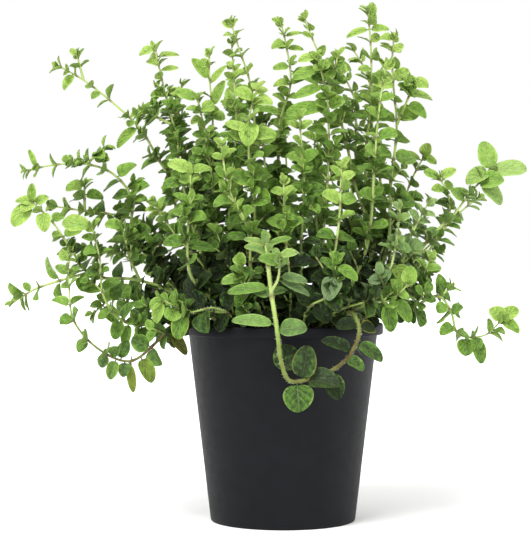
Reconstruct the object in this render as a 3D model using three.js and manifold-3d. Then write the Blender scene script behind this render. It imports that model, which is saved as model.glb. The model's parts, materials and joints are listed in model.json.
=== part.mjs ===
// An oregano plant in a plain nursery pot. Units are millimetres, +Z is up, -Y is the front.
// The origin is the middle of the pot's underside, on the surface that the pot stands on.
//
// The plant is some fifty rooted stems. Each stem, with its side shoots and leaves, is one closed solid
// that stands in a plain hole in the soil. The stems are bent clear of each other, and a leaf grows only
// where it is clear of every other stem and its leaves.
import * as THREE from "three";
import { mergeVertices } from "three/addons/utils/BufferGeometryUtils.js";
import Module from "manifold-3d";

const wasm = await Module();
wasm.setup();

// Pot: a thin moulded wall under a solid rim band, with a recessed floor round a flat middle.
const POT_HEIGHT = 128;
const POT_RIM_RADIUS = 65;
const POT_TOP_RADIUS = 62; // just under the rim band
const POT_FOOT_RADIUS = 47;
const POT_WALL = 1.6;
const POT_RIM_DEPTH = 7;
const POT_FLOOR = 4.3;
const POT_RECESS = 2.5;
const POT_SIDES = 28;
const DRAIN_HOLES = 6;
const DRAIN_RADIUS = 4.5;
const DRAIN_CIRCLE = 30;

// Soil: fills the pot to below its rim.
const FIT_GAP = 0.3; // between pieces that touch
const SOIL_TOP = 116;
const SOIL_RISE = 1.6; // height of the lumps
const HOLE_FLOOR = 105.5;
const HOLE_SIDES = 4;

// Stems.
const STEM_STEP = 3; // spacing of the points along a stem
const STEM_TIP = 0.8; // radius at the tip
const STEM_GAP = 1.5; // kept between two stems' points
const BEND_ROUNDS = 40;
const BEND_REACH = 4; // points that follow a pushed one, each way
const ROOTED_POINTS = 6; // points of a stem that stay where they are
const RIM_CIRCLE = 63.5; // the middle of the rim band, which stems hang over
const RIM_LEVEL = 124.5;
const RIM_CLEARANCE = 5;
const THIN_TO = 0.8; // points of a stem this close to its chord are left out of its solid

// Leaves, as shares of their length unless said otherwise.
const LEAF_THICKNESS = 0.7; // mm
const LEAF_SCALE = 1.02; // of the sizes that the sprays give
const LEAF_WIDTH = 0.84;
const TIP_WIDTH = 0.6; // of the leaves at a stem's tip
const LEAF_DROOP = 0.16; // fall of the tip
const LEAF_SAGS = [0.1, 0.6]; // least and greatest downward lean of a leaf low on its stem
const LEAF_FOLD = 0.22; // rise of the margins, as a share of the half width
const LEAF_SMALLEST = 4.5; // mm
const PETIOLE = 0.12; // the stalk
const BLADE_SHIFT = 0.84; // under 1, the widest part lies nearer the root
const BLADE_ROUND = 0.42; // the less, the rounder the blade's ends
const UP = new THREE.Vector3(0, 0, 1);
const LIGHT = new THREE.Vector3(0, -0.8, 0.6); // the set leaves turn towards it
const OUT_FROM = 50; // mm: the other leaves turn away from a line this far behind the pot's middle
const FACE_AXIS = 0.4;
const FACE_OUT = 1;
const FACE_SKY = 0.5;
const PHYLLOTAXY = Math.PI / 2; // each pair stands across the last
const OWN_SHARE = 0.55; // of the clearance is kept to leaves of the same spray
const SET_SHARE = 0.25; // the same for leaves that are set by hand
const MAX_BALL = 3; // mm, half the cell of the search grid
const TURNS = [0, 0.45, -0.45, 0.9, -0.9, 1.3, -1.3];
const SEED = 20;

// How the solids are cut.
const STEM_SIDES = 3;
// The pair at a stem's tip and every eighth one below it become solids, and so do all large and all set
// leaves.
const PAIRS_KEPT = 8;
const LARGE_LEAF = 17;
const ROOT_SUNK = 0.4; // how far a blade's root lies past the middle of its stem, in stem radii
const FOLDED_FROM = 14; // from this length up, a blade is folded about its middle
const BLADE_STATIONS = [
  [17, [0.24, 0.52, 0.82]],
  [8, [0.33, 0.74]],
  [0, [0.45]],
]; // from this length up, a blade has its margin points at these shares of its length
const FUSE_TOLERANCE = 0.1;

// The sprays. leaf is the length of the longest leaves, gap the distance between leaf pairs, bare the
// leafless share of the main stem, radius the stem's at its root. route is the main stem's way points,
// shoots are the side shoots' and blades are the tips of leaves that are set by hand, each with its width.
const SPRAYS = [
  {
    name: "upright_far_left", leaf: 12, gap: 22, bare: 0.5, radius: 1.4,
    route: [[-44, 8, 106], [-44, 8, 121], [-63, 8, 205], [-81, 12, 234], [-93, 14, 254],
      [-114, 16, 274], [-131, 16, 287], [-147, 14, 296]],
    shoots: [[[-131, 16, 287], [-135, 14, 303]]],
    blades: [[-143, 8, 281, 7], [-125, 10, 275, 6], [-86, 12, 274, 6], [-109, 8, 245, 7],
      [-101, 10, 257, 6]],
  },
  {
    name: "upright_left_tall", leaf: 12, gap: 17, bare: 0.42, radius: 1.5,
    route: [[-36, -6, 106], [-36, -6, 121], [-56, -4, 182], [-67, -6, 230], [-71, -5, 256],
      [-77, -4, 280], [-83, -4, 306]],
    shoots: [[[-71, -5, 256], [-89, -8, 265]]],
    blades: [[-68, -4, 304, 4], [-68, -6, 294, 5], [-93, -6, 303, 8]],
  },
  {
    name: "upright_left_small", leaf: 10, gap: 12, bare: 0.4, radius: 1.1,
    route: [[-30, 18, 106], [-30, 18, 121], [-52, 20, 182], [-63, 22, 235], [-69, 24, 258],
      [-67, 26, 285]],
    shoots: [[[-63, 22, 235], [-74, 18, 266]]],
  },
  {
    name: "upright_left_mid", leaf: 15, gap: 18, bare: 0.45, radius: 1.4,
    route: [[-24, -14, 106], [-24, -14, 121], [-41, -12, 182], [-46, -12, 224], [-49, -12, 246],
      [-55, -10, 272]],
    blades: [[-68, -12, 279, 9], [-44, -14, 268, 9], [-60, -10, 258, 7]],
  },
  {
    name: "upright_slim", leaf: 11, gap: 16, bare: 0.36, radius: 1.3,
    route: [[-16, 4, 106], [-16, 4, 121], [-44, 6, 182], [-46, 6, 215], [-46, 6, 266], [-48, 4, 292],
      [-48, 4, 303]],
    blades: [[-58, 0, 300, 9, 5], [-38, 2, 296, 6, 4], [-40, 0, 285, 8, 5], [-38, 2, 262, 8]],
  },
  {
    name: "upright_tall_centre_left", leaf: 12, gap: 17, bare: 0.42, radius: 1.5,
    route: [[-10, 24, 106], [-10, 24, 121], [-20, 28, 189], [-19, 30, 235], [-20, 30, 278],
      [-24, 30, 295], [-28, 28, 306], [-34, 26, 325]],
    shoots: [[[-19, 30, 235], [-10, 34, 262]]],
  },
  {
    name: "upright_rear_left", leaf: 10, gap: 13, bare: 0.45, radius: 1.2,
    route: [[-22, 32, 106], [-22, 32, 121], [-30, 38, 189], [-31, 40, 242], [-32, 38, 282],
      [-34, 36, 313]],
  },
  {
    name: "upright_cluster_left", leaf: 13, gap: 14, bare: 0.4, radius: 1.2,
    route: [[-30, -26, 106], [-30, -26, 121], [-35, -22, 182], [-33, -20, 220], [-30, -20, 259],
      [-32, -18, 292]],
  },
  {
    name: "upright_front_centre", leaf: 16, gap: 17, bare: 0.38, radius: 1.6,
    route: [[-18, -30, 106], [-18, -30, 121], [-20, -34, 169], [-18, -38, 201], [-22, -40, 239],
      [-21, -40, 262], [-17, -38, 276]],
    blades: [[-31, -44, 275, 11], [-7, -42, 268, 11], [-36, -44, 256, 10, 2], [-22, -50, 243, 13, -5],
      [-5, -44, 249, 12, 1]],
  },
  {
    name: "upright_centre_tall", leaf: 13, gap: 15, bare: 0.42, radius: 1.5,
    route: [[2, 10, 106], [2, 10, 121], [-1, 10, 188], [-3, 10, 234], [-2, 10, 259], [5, 10, 284],
      [2, 10, 310], [-1, 10, 323]],
    blades: [[-7, 6, 308, 9], [12, 6, 318, 5], [13, 8, 308, 5], [-6, 6, 295, 7], [22, 0, 286, 12, -2],
      [-5, 4, 284, 8], [-18, 6, 269, 7], [-6, 4, 277, 8], [8, 4, 275, 8]],
  },
  {
    name: "upright_oblique", leaf: 12, gap: 21, bare: 0.4, radius: 1.5,
    route: [[44, 4, 106], [44, 4, 121], [58, 2, 182], [46, 2, 221], [41, 2, 247], [33, 2, 273],
      [25, 2, 299], [19, 2, 313], [14, 2, 325]],
  },
  {
    name: "upright_centre_right", leaf: 14, gap: 14, bare: 0.45, radius: 1.3,
    route: [[24, -16, 106], [24, -16, 121], [26, -16, 188], [29, -18, 240], [28, -18, 272],
      [22, -18, 299]],
    shoots: [[[28, -18, 272], [35, -16, 300]]],
    blades: [[10, -22, 298, 7], [23, -22, 302, 8], [20, -24, 290, 8], [6, -22, 286, 8], [7, -22, 275, 8],
      [2, -24, 264, 11], [31, -22, 273, 7], [40, -20, 283, 8]],
  },
  {
    name: "upright_tall_right", leaf: 14, gap: 16, bare: 0.45, radius: 1.7,
    route: [[36, 20, 106], [36, 20, 121], [54, 20, 189], [55, 20, 241], [58, 20, 274], [58, 18, 309],
      [56, 18, 332]],
    blades: [[42, 16, 318, 6], [69, 14, 322, 8], [50, 16, 295, 7], [73, 14, 284, 11]],
  },
  {
    name: "upright_right", leaf: 15, gap: 17, bare: 0.42, radius: 1.6,
    route: [[50, -8, 106], [50, -8, 121], [68, -10, 182], [69, -12, 217], [73, -12, 256],
      [71, -12, 279], [70, -12, 297], [71, -12, 311]],
    shoots: [[[73, -12, 256], [84, -14, 282]]],
    blades: [[93, -16, 281, 10], [92, -16, 262, 11], [62, -14, 312, 8]],
  },
  {
    name: "upright_right_inner", leaf: 14, gap: 17, bare: 0.4, radius: 1.4,
    route: [[34, -28, 106], [34, -28, 121], [54, -26, 182], [58, -26, 233], [60, -26, 258],
      [65, -24, 293]],
  },
  {
    name: "upright_right_rear", leaf: 13, gap: 15, bare: 0.42, radius: 1.3,
    route: [[28, 34, 106], [28, 34, 121], [44, 36, 189], [49, 38, 258], [48, 36, 276],
      [39, 34, 295]],
  },
  {
    name: "upright_rear_right", leaf: 12, gap: 17, bare: 0.45, radius: 1.3,
    route: [[44, 30, 106], [44, 30, 121], [67, 40, 195], [61, 46, 256], [56, 46, 296],
      [47, 46, 311]],
  },
  {
    name: "inner_left", leaf: 15, gap: 14, bare: 0.35, radius: 1.3,
    route: [[-36, 24, 106], [-36, 24, 121], [-51, 32, 175], [-55, 36, 215], [-50, 38, 252]],
  },
  {
    name: "inner_centre", leaf: 15, gap: 14, bare: 0.32, radius: 1.3,
    route: [[-4, -10, 106], [-4, -10, 121], [-11, -8, 182], [-11, -8, 221], [-14, -8, 252]],
  },
  {
    name: "inner_centre_right", leaf: 15, gap: 14, bare: 0.32, radius: 1.3,
    route: [[10, -26, 106], [10, -26, 121], [11, -28, 176], [13, -30, 214], [10, -28, 261]],
  },
  {
    name: "inner_right", leaf: 14, gap: 14, bare: 0.32, radius: 1.3,
    route: [[20, 6, 106], [20, 6, 121], [23, 10, 182], [19, 12, 221], [22, 12, 255]],
  },
  {
    name: "inner_oblique", leaf: 14, gap: 14, bare: 0.35, radius: 1.3,
    route: [[-12, -50, 106], [-12, -50, 121], [-20, -58, 156], [-23, -56, 191], [-34, -50, 213],
      [-39, -46, 241]],
  },
  {
    name: "inner_front_right", leaf: 14, gap: 13, bare: 0.3, radius: 1.3,
    route: [[20, -40, 106], [20, -40, 121], [29, -52, 160], [34, -52, 191], [36, -48, 227]],
  },
  {
    name: "inner_front_centre", leaf: 14, gap: 13, bare: 0.3, radius: 1.2,
    route: [[4, -44, 106], [4, -44, 121], [4, -50, 155], [1, -50, 185], [0, -46, 218]],
  },
  {
    name: "right_mid", leaf: 14, gap: 16, bare: 0.42, radius: 1.4,
    route: [[52, 12, 106], [52, 12, 121], [70, 14, 169], [74, 14, 199], [79, 12, 208], [86, 10, 225],
      [92, 8, 236]],
    blades: [[95, 6, 245, 9], [78, 6, 241, 6], [101, 8, 233, 6]],
  },
  {
    name: "right_outer", leaf: 13, gap: 16, bare: 0.42, radius: 1.3,
    route: [[54, -3, 106], [54, -3, 121], [82, -4, 157], [99, -6, 182], [108, -8, 199],
      [105, -8, 214], [101, -8, 222]],
    blades: [[91, -10, 227, 7], [111, -10, 228, 7]],
  },
  {
    name: "right_far", leaf: 15, gap: 24, bare: 0.4, radius: 1.6,
    route: [[50, -18, 106], [50, -18, 121], [68, -20, 146], [81, -16, 165], [96, -12, 185],
      [110, -8, 199], [124, -6, 216], [134, -6, 226]],
    blades: [[130, -6, 246, 13], [157, -8, 230, 13], [141, -12, 207, 12], [118, -10, 220, 12, -6],
      [139, -16, 223, 13, 4], [110, -12, 215, 9]],
  },
  {
    name: "right_far_side", leaf: 12, gap: 15, bare: 0.4, radius: 1.3,
    route: [[50, 21, 106], [50, 21, 121], [81, 32, 162], [102, 34, 182], [115, 34, 197],
      [130, 32, 210]],
  },
  {
    name: "right_low", leaf: 14, gap: 15, bare: 0.4, radius: 1.2,
    route: [[44, -30, 106], [44, -30, 121], [71, -36, 140], [83, -40, 151], [92, -42, 171]],
  },
  {
    name: "right_trailing", leaf: 14, gap: 18, bare: 0.45, radius: 1.4,
    route: [[36, -39, 106], [36, -39, 121], [63, -46, 137], [81, -52, 141], [97, -54, 147],
      [104, -54, 137], [108, -54, 124], [125, -54, 123], [135, -54, 132]],
    shoots: [[[97, -54, 147], [103, -54, 152]]],
    blades: [[129, -56, 140, 11], [146, -52, 140, 9], [146, -58, 126, 9], [95, -56, 138, 9],
      [110, -58, 141, 9], [97, -58, 125, 9], [113, -58, 111, 12], [120, -60, 115, 8],
      [123, -58, 106, 9]],
  },
  {
    name: "right_silvery", leaf: 12, gap: 13, bare: 0.32, radius: 1.2,
    route: [[40, -16, 106], [40, -16, 121], [73, -24, 159], [81, -30, 185], [92, -30, 206]],
  },
  {
    name: "right_silvery_front", leaf: 12, gap: 13, bare: 0.32, radius: 1.2,
    route: [[28, -36, 106], [28, -36, 121], [62, -56, 152], [69, -58, 178], [72, -56, 202]],
    blades: [[79, -65, 156, 11, -2]],
  },
  {
    name: "right_rim", leaf: 15, gap: 14, bare: 0.4, radius: 1.2,
    route: [[20, -49, 106], [20, -49, 121], [48, -62, 143], [65, -68, 145], [76, -70, 155]],
    blades: [[77, -74, 166, 10], [66, -70, 126, 10], [79, -66, 132, 10]],
  },
  {
    name: "left_front_upright", leaf: 15, gap: 16, bare: 0.32, radius: 1.4,
    route: [[-36, -36, 106], [-36, -36, 121], [-45, -44, 144], [-58, -50, 160], [-60, -50, 181],
      [-58, -50, 207], [-58, -48, 225]],
    blades: [[-71, -50, 232, 9], [-45, -50, 227, 9], [-43, -54, 178, 9], [-75, -52, 181, 9]],
  },
  {
    name: "left_far_high", leaf: 13, gap: 16, bare: 0.45, radius: 1.4,
    route: [[-53, 2, 106], [-53, 2, 121], [-80, 2, 162], [-98, 0, 186], [-99, 0, 211],
      [-112, -2, 226], [-127, -4, 231], [-151, -6, 230], [-165, -8, 227]],
    shoots: [[[-127, -4, 231], [-116, -4, 242]]],
    blades: [[-164, -6, 241, 4], [-97, -4, 232, 10], [-140, -6, 237, 6]],
  },
  {
    name: "left_far_mid", leaf: 14, gap: 17, bare: 0.42, radius: 1.5,
    route: [[-48, -10, 106], [-48, -10, 121], [-69, -12, 147], [-92, -14, 156], [-125, -16, 161],
      [-138, -16, 179], [-150, -16, 196], [-161, -16, 206]],
    shoots: [[[-125, -16, 161], [-143, -18, 156], [-160, -18, 150], [-173, -18, 142]],
      [[-92, -14, 156], [-99, -16, 172], [-103, -16, 190]]],
    blades: [[-161, -18, 218, 6], [-171, -18, 208, 9], [-166, -24, 201, 9, -2], [-173, -22, 192, 12],
      [-152, -12, 212, 8], [-152, -24, 189, 10, -3], [-142, -12, 199, 8], [-114, -16, 194, 8],
      [-130, -12, 190, 8], [-127, -20, 150, 9], [-88, -20, 171, 9],
      [-147, -20, 184, 7], [-130, -22, 178, 9], [-166, -18, 155, 5], [-126, -20, 172, 8]],
  },
  {
    name: "left_level", leaf: 14, gap: 17, bare: 0.4, radius: 1.5,
    route: [[-50, 18, 106], [-50, 18, 121], [-78, 18, 170], [-87, 16, 191], [-108, 14, 198],
      [-130, 12, 201], [-150, 10, 204]],
    shoots: [[[-130, 12, 201], [-130, 10, 217]]],
    blades: [[-103, 8, 205, 13], [-142, 8, 217, 9], [-118, 8, 211, 9]],
  },
  {
    name: "left_low_outer", leaf: 13, gap: 15, bare: 0.38, radius: 1.3,
    route: [[-48, -22, 106], [-48, -22, 121], [-72, -26, 136], [-90, -30, 128], [-105, -32, 133],
      [-114, -32, 147], [-116, -32, 168], [-121, -32, 190]],
    blades: [[-126, -36, 174, 9], [-140, -32, 194, 12], [-117, -36, 133, 8], [-101, -36, 116, 7],
      [-96, -36, 143, 7], [-91, -36, 112, 9], [-107, -38, 121, 9]],
  },
  {
    name: "left_level_inner", leaf: 14, gap: 15, bare: 0.38, radius: 1.3,
    route: [[-44, 30, 106], [-44, 30, 121], [-70, 32, 157], [-89, 34, 171], [-115, 34, 173],
      [-138, 32, 175]],
  },
  {
    name: "left_hanging", leaf: 14, gap: 16, bare: 0.42, radius: 1.4,
    route: [[-34, -42, 106], [-34, -42, 121], [-55, -52, 136], [-73, -56, 124], [-96, -58, 107],
      [-119, -58, 118], [-131, -56, 134], [-133, -56, 152], [-134, -54, 172]],
    blades: [[-81, -62, 95, 10], [-93, -60, 88, 6], [-60, -60, 112, 8], [-128, -60, 114, 8],
      [-139, -58, 131, 9], [-108, -60, 96, 9], [-99, -62, 98, 8], [-103, -62, 116, 8],
      [-114, -60, 104, 8], [-98, -54, 121, 9]],
  },
  {
    name: "left_rim", leaf: 16, gap: 14, bare: 0.4, radius: 1.2,
    route: [[-24, -47, 106], [-24, -47, 121], [-43, -60, 140], [-59, -66, 138], [-74, -66, 145]],
    blades: [[-70, -70, 133, 12], [-66, -70, 122, 11], [-81, -64, 131, 9], [-84, -62, 141, 8]],
  },
  {
    name: "left_inner_low", leaf: 15, gap: 14, bare: 0.34, radius: 1.2,
    route: [[-52, 10, 106], [-52, 10, 121], [-77, 14, 142], [-95, 14, 139], [-112, 10, 143],
      [-124, 8, 134]],
    blades: [[-103, 8, 153, 12], [-94, 8, 126, 12], [-108, 4, 129, 10], [-111, 22, 156, 10, 2],
      [-88, 8, 153, 11], [-98, 24, 160, 9, 2], [-120, 4, 146, 9]],
  },
  {
    name: "left_inner_mid", leaf: 14, gap: 15, bare: 0.34, radius: 1.2,
    route: [[-34, -20, 106], [-34, -20, 121], [-49, -26, 163], [-68, -30, 185], [-82, -32, 205]],
  },
  {
    name: "front_trailing", leaf: 14, gap: 30, bare: 0.8, radius: 1.6, tip: 1.4,
    route: [[31, -43, 106], [31, -43, 121], [41, -58, 138], [46, -71, 126], [40, -76, 112],
      [29, -80, 103], [16, -82, 98], [3, -84, 97], [-2, -86, 109], [-4, -84, 125], [-8, -80, 151],
      [-10, -76, 169], [-11, -74, 181]],
    shoots: [[[-8, -80, 151], [-4, -84, 158], [-3, -85, 165], [-3, -85, 172]]],
    blades: [[9, -88, 79, 19], [2, -78, 120, 16, 7], [14, -88, 118, 15, 11], [32, -90, 97, 17, -5],
      [33, -84, 86, 14], [25, -82, 123, 9, 3], [61, -76, 111, 10], [48, -82, 105, 9],
      [48, -68, 113, 9], [-30, -88, 137, 8, 3], [12, -92, 131, 12],
      [-34, -86, 152, 8], [14, -86, 158, 7], [16, -86, 151, 7],
      [-23, -80, 184, 5, 1], [-21, -86, 180, 7, 2], [4, -74, 185, 5, 1], [7, -88, 176, 6],
      [-15, -90, 172, 8, 2], [-5, -92, 171, 8, 2], [-12, -76, 188, 6], [57, -66, 129, 10],
      [32, -72, 130, 9]],
  },
  {
    name: "front_left_light", leaf: 11, gap: 12, bare: 0.4, radius: 1.1,
    route: [[-16, -44, 106], [-16, -44, 121], [-23, -62, 141], [-24, -66, 153], [-26, -66, 169]],
    blades: [[-38, -70, 158, 8], [-17, -70, 141, 7]],
  },
  {
    name: "front_left_inner", leaf: 16, gap: 14, bare: 0.36, radius: 1.2,
    route: [[-8, -36, 106], [-8, -36, 121], [-14, -40, 144], [-32, -44, 163], [-42, -44, 187]],
  },
  {
    name: "front_right_inner", leaf: 16, gap: 14, bare: 0.36, radius: 1.2,
    route: [[12, -52, 106], [12, -52, 121], [17, -64, 142], [28, -68, 148], [32, -68, 169]],
    blades: [[27, -76, 147, 13, -5], [45, -73, 159, 8, -2], [27, -73, 137, 7]],
  },
  {
    name: "rear_left", leaf: 14, gap: 16, bare: 0.35, radius: 1.4,
    route: [[-24, 48, 106], [-24, 48, 121], [-47, 64, 175], [-57, 76, 216], [-60, 82, 244]],
  },
  {
    name: "rear_centre", leaf: 14, gap: 16, bare: 0.35, radius: 1.4,
    route: [[0, 44, 106], [0, 44, 121], [0, 58, 182], [3, 68, 230], [0, 74, 271]],
  },
  {
    name: "rear_right", leaf: 14, gap: 16, bare: 0.35, radius: 1.4,
    route: [[20, 49, 106], [20, 49, 121], [38, 66, 175], [48, 76, 216], [54, 84, 251]],
  },
  {
    name: "rear_left_low", leaf: 14, gap: 15, bare: 0.35, radius: 1.3,
    route: [[-38, 36, 106], [-38, 36, 121], [-70, 66, 143], [-85, 84, 161], [-92, 92, 189]],
  },
  {
    name: "rear_right_low", leaf: 14, gap: 15, bare: 0.35, radius: 1.3,
    route: [[38, 38, 106], [38, 38, 121], [75, 64, 143], [90, 78, 167], [96, 84, 194]],
  },
  {
    name: "rear_trailing", leaf: 14, gap: 15, bare: 0.4, radius: 1.3,
    route: [[8, 53, 106], [8, 53, 121], [7, 76, 133], [10, 92, 127], [13, 106, 139], [16, 110, 166]],
  },
  {
    name: "rear_trailing_left", leaf: 14, gap: 15, bare: 0.4, radius: 1.3,
    route: [[-12, 52, 106], [-12, 52, 121], [-29, 78, 136], [-39, 94, 140], [-46, 102, 166],
      [-45, 100, 194]],
  },
  {
    name: "rear_inner_right", leaf: 15, gap: 14, bare: 0.32, radius: 1.3,
    route: [[26, 42, 106], [26, 42, 121], [27, 54, 165], [26, 58, 205], [25, 60, 244]],
  },
  {
    name: "rear_inner_left", leaf: 15, gap: 14, bare: 0.32, radius: 1.3,
    route: [[-32, 43, 106], [-32, 43, 121], [-56, 48, 160], [-70, 52, 195], [-76, 52, 222]],
  },
];

// A repeatable draw between 0 and 1.
function makeDraw(seed) {
  let state = seed;
  return () => {
    state = (state * 16807) % 2147483647;
    return state / 2147483647;
  };
}

const mix = (a, b, t) => a + (b - a) * t;

// Any unit vector square to the unit vector t.
function squareTo(t) {
  const aside = Math.abs(t.z) < 0.8 ? new THREE.Vector3(0, 0, 1) : new THREE.Vector3(0, 1, 0);
  return aside.cross(t).normalize();
}

// v without its part along the unit vector t, at unit length.
function acrossOf(v, t) {
  return v.clone().addScaledVector(t, -v.dot(t)).normalize();
}

// ---- Paths

// A smooth path through way points, as points about STEM_STEP apart. The first span of a rooted stem,
// which is in its hole, stays straight.
function smoothPath(way, rooted) {
  const spans = way.slice(1).map((p, i) => p.distanceTo(way[i]));
  const dirs = way.slice(1).map((p, i) => p.clone().sub(way[i]).divideScalar(spans[i]));
  const slopes = way.map((_, i) => {
    if (i === 0 || (i === 1 && rooted)) return dirs[0];
    if (i === dirs.length) return dirs[i - 1];
    const share = spans[i - 1] / (spans[i - 1] + spans[i]);
    return dirs[i - 1].clone().multiplyScalar(1 - share).addScaledVector(dirs[i], share);
  });
  const points = [];
  spans.forEach((span, i) => {
    const steps = Math.ceil(span / STEM_STEP);
    for (let k = 0; k < steps; k++) {
      const t = k / steps;
      const t2 = t * t;
      const t3 = t2 * t;
      points.push(
        new THREE.Vector3()
          .addScaledVector(way[i], 2 * t3 - 3 * t2 + 1)
          .addScaledVector(slopes[i], span * (t3 - 2 * t2 + t))
          .addScaledVector(way[i + 1], 3 * t2 - 2 * t3)
          .addScaledVector(slopes[i + 1], span * (t3 - t2)),
      );
    }
  });
  points.push(way[way.length - 1].clone());
  return points;
}

// The stems of every spray: its main stem, then its side shoots, each with a parent point to start from.
function layStems() {
  const stems = [];
  SPRAYS.forEach((spray, index) => {
    const toVectors = (list) => list.map((p) => new THREE.Vector3(...p));
    const points = smoothPath(toVectors(spray.route), true);
    const main = { spray: index, points, base: spray.radius, tip: spray.tip ?? STEM_TIP };
    stems.push(main);
    for (const shoot of spray.shoots ?? []) {
      const way = toVectors(shoot);
      const from = nearestIndex(main.points, way[0]);
      way[0] = main.points[from].clone();
      const own = smoothPath(way, false);
      stems.push({ spray: index, points: own, base: spray.radius * 0.7, tip: STEM_TIP, parent: main, from });
    }
  });
  return stems;
}

function nearestIndex(points, target) {
  let best = 0;
  points.forEach((p, i) => {
    if (p.distanceTo(target) < points[best].distanceTo(target)) best = i;
  });
  return best;
}

// Radius of a stem at point i.
const radiusAt = (stem, i) => mix(stem.base, stem.tip, i / (stem.points.length - 1));

// A search grid of balls, each with a centre, a radius and the spray that it belongs to.
class BallGrid {
  constructor() {
    this.cells = new Map();
    this.cell = 2 * MAX_BALL;
  }

  key(x, y, z) {
    return (x + 500) * 1e6 + (y + 500) * 1e3 + (z + 500);
  }

  add(centre, radius, spray, stem = false) {
    const at = [centre.x, centre.y, centre.z].map((v) => Math.floor(v / this.cell));
    const key = this.key(...at);
    if (!this.cells.has(key)) this.cells.set(key, []);
    this.cells.get(key).push({ centre, radius, spray, stem });
  }

  near(centre) {
    const [x, y, z] = [centre.x, centre.y, centre.z].map((v) => Math.floor(v / this.cell));
    const found = [];
    for (let i = x - 1; i <= x + 1; i++)
      for (let j = y - 1; j <= y + 1; j++)
        for (let k = z - 1; k <= z + 1; k++) found.push(...(this.cells.get(this.key(i, j, k)) ?? []));
    return found;
  }
}

// Bends stems that pass too near each other, or the rim, a little at a time.
function bendClear(stems) {
  for (let round = 0; round < BEND_ROUNDS; round++) {
    const grid = new BallGrid();
    for (const stem of stems)
      stem.points.forEach((p, i) => grid.add(p, radiusAt(stem, i), stem.spray));
    const pushes = stems.map((stem) =>
      stem.points.map((p, i) => {
        const push = rimPush(p, radiusAt(stem, i));
        for (const ball of grid.near(p)) {
          if (ball.spray === stem.spray) continue;
          const away = p.clone().sub(ball.centre);
          const short = radiusAt(stem, i) + ball.radius + STEM_GAP - away.length();
          if (short > 0) push.addScaledVector(away.normalize(), short / 2);
        }
        return push;
      }),
    );
    stems.forEach((stem, s) => {
      const fixed = stem.parent ? 0 : ROOTED_POINTS;
      stem.points = stem.points.map((p, i) => {
        const moved = p.clone();
        for (let k = -BEND_REACH; k <= BEND_REACH; k++) {
          const push = pushes[s][i + k];
          const share = (1 - Math.abs(k) / (BEND_REACH + 1)) / 3;
          if (push) moved.addScaledVector(push, share * Math.min(1, Math.max(0, (i - fixed) / 4)));
        }
        return moved;
      });
    });
    for (const stem of stems) if (stem.parent) stem.points[0] = stem.parent.points[stem.from].clone();
  }
}

// What moves a point off the rim that it hangs over.
function rimPush(p, radius) {
  const out = Math.hypot(p.x, p.y);
  const away = new THREE.Vector2(out - RIM_CIRCLE, p.z - RIM_LEVEL);
  const short = RIM_CLEARANCE + radius - away.length();
  if (short <= 0) return new THREE.Vector3();
  away.normalize().multiplyScalar(short);
  return new THREE.Vector3((away.x * p.x) / out, (away.x * p.y) / out, away.y);
}

// ---- Leaves

// Half width of a blade at share s of its length, past its stalk, as a share of its widest.
function ovate(s) {
  const t = (s - PETIOLE) / (1 - PETIOLE);
  return t > 0 && t < 1 ? Math.sin(Math.PI * t ** BLADE_SHIFT) ** BLADE_ROUND : 0;
}

// A point of a leaf: s runs from its root to its tip, side from -1 to 1 across it.
function leafPoint(leaf, s, side) {
  const half = (leaf.width / 2) * ovate(s);
  const rise = LEAF_FOLD * half * Math.abs(side) - LEAF_DROOP * leaf.length * s * s;
  return leaf.root
    .clone()
    .addScaledVector(leaf.along, s * leaf.length)
    .addScaledVector(leaf.aside, side * half)
    .addScaledVector(leaf.up, rise);
}

// A leaf that grows from point i of a stem in the direction along, its face as near to the wish as that
// allows.
function makeLeaf(stem, i, along, wish, length, width) {
  const up = acrossOf(wish, along);
  const aside = up.clone().cross(along);
  return { root: stem.points[i], neck: radiusAt(stem, i), along, up, aside, length, width };
}

// Balls that cover a blade beyond its root.
function leafBalls(leaf) {
  const radius = 0.11 * leaf.length + 0.35;
  const balls = [{ centre: leafPoint(leaf, 1, 0), radius: 0.7 * radius }];
  for (const s of [0.22, 0.4, 0.58, 0.76, 0.92])
    for (const side of [-0.7, 0, 0.7]) balls.push({ centre: leafPoint(leaf, s, side), radius });
  return balls;
}

// Whether a ball is clear of the pot and the soil.
function clearOfPot({ centre, radius }) {
  if (centre.z < radius + 1) return false;
  const out = Math.hypot(centre.x, centre.y);
  if (Math.hypot(out - RIM_CIRCLE, centre.z - RIM_LEVEL) < RIM_CLEARANCE + radius) return false;
  if (centre.z > POT_HEIGHT + radius) return true;
  if (out > mix(POT_FOOT_RADIUS, POT_RIM_RADIUS, centre.z / POT_HEIGHT) + radius) return true;
  return out < POT_TOP_RADIUS - POT_WALL - 1 - radius && centre.z > SOIL_TOP + SOIL_RISE + radius;
}

// Adds the leaf if it is clear of the rest, and says whether it was.
function settle(leaf, spray, grid, leaves, ownShare) {
  const balls = leafBalls(leaf);
  for (const ball of balls) {
    if (!clearOfPot(ball)) return false;
    for (const other of grid.near(ball.centre)) {
      const own = other.spray === spray;
      const need = (own ? ownShare : 1) * (ball.radius + other.radius);
      if (!(own && other.stem) && ball.centre.distanceTo(other.centre) < need) return false;
    }
  }
  for (const ball of balls) grid.add(ball.centre, ball.radius, spray);
  leaves.push(leaf);
  return true;
}

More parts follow.
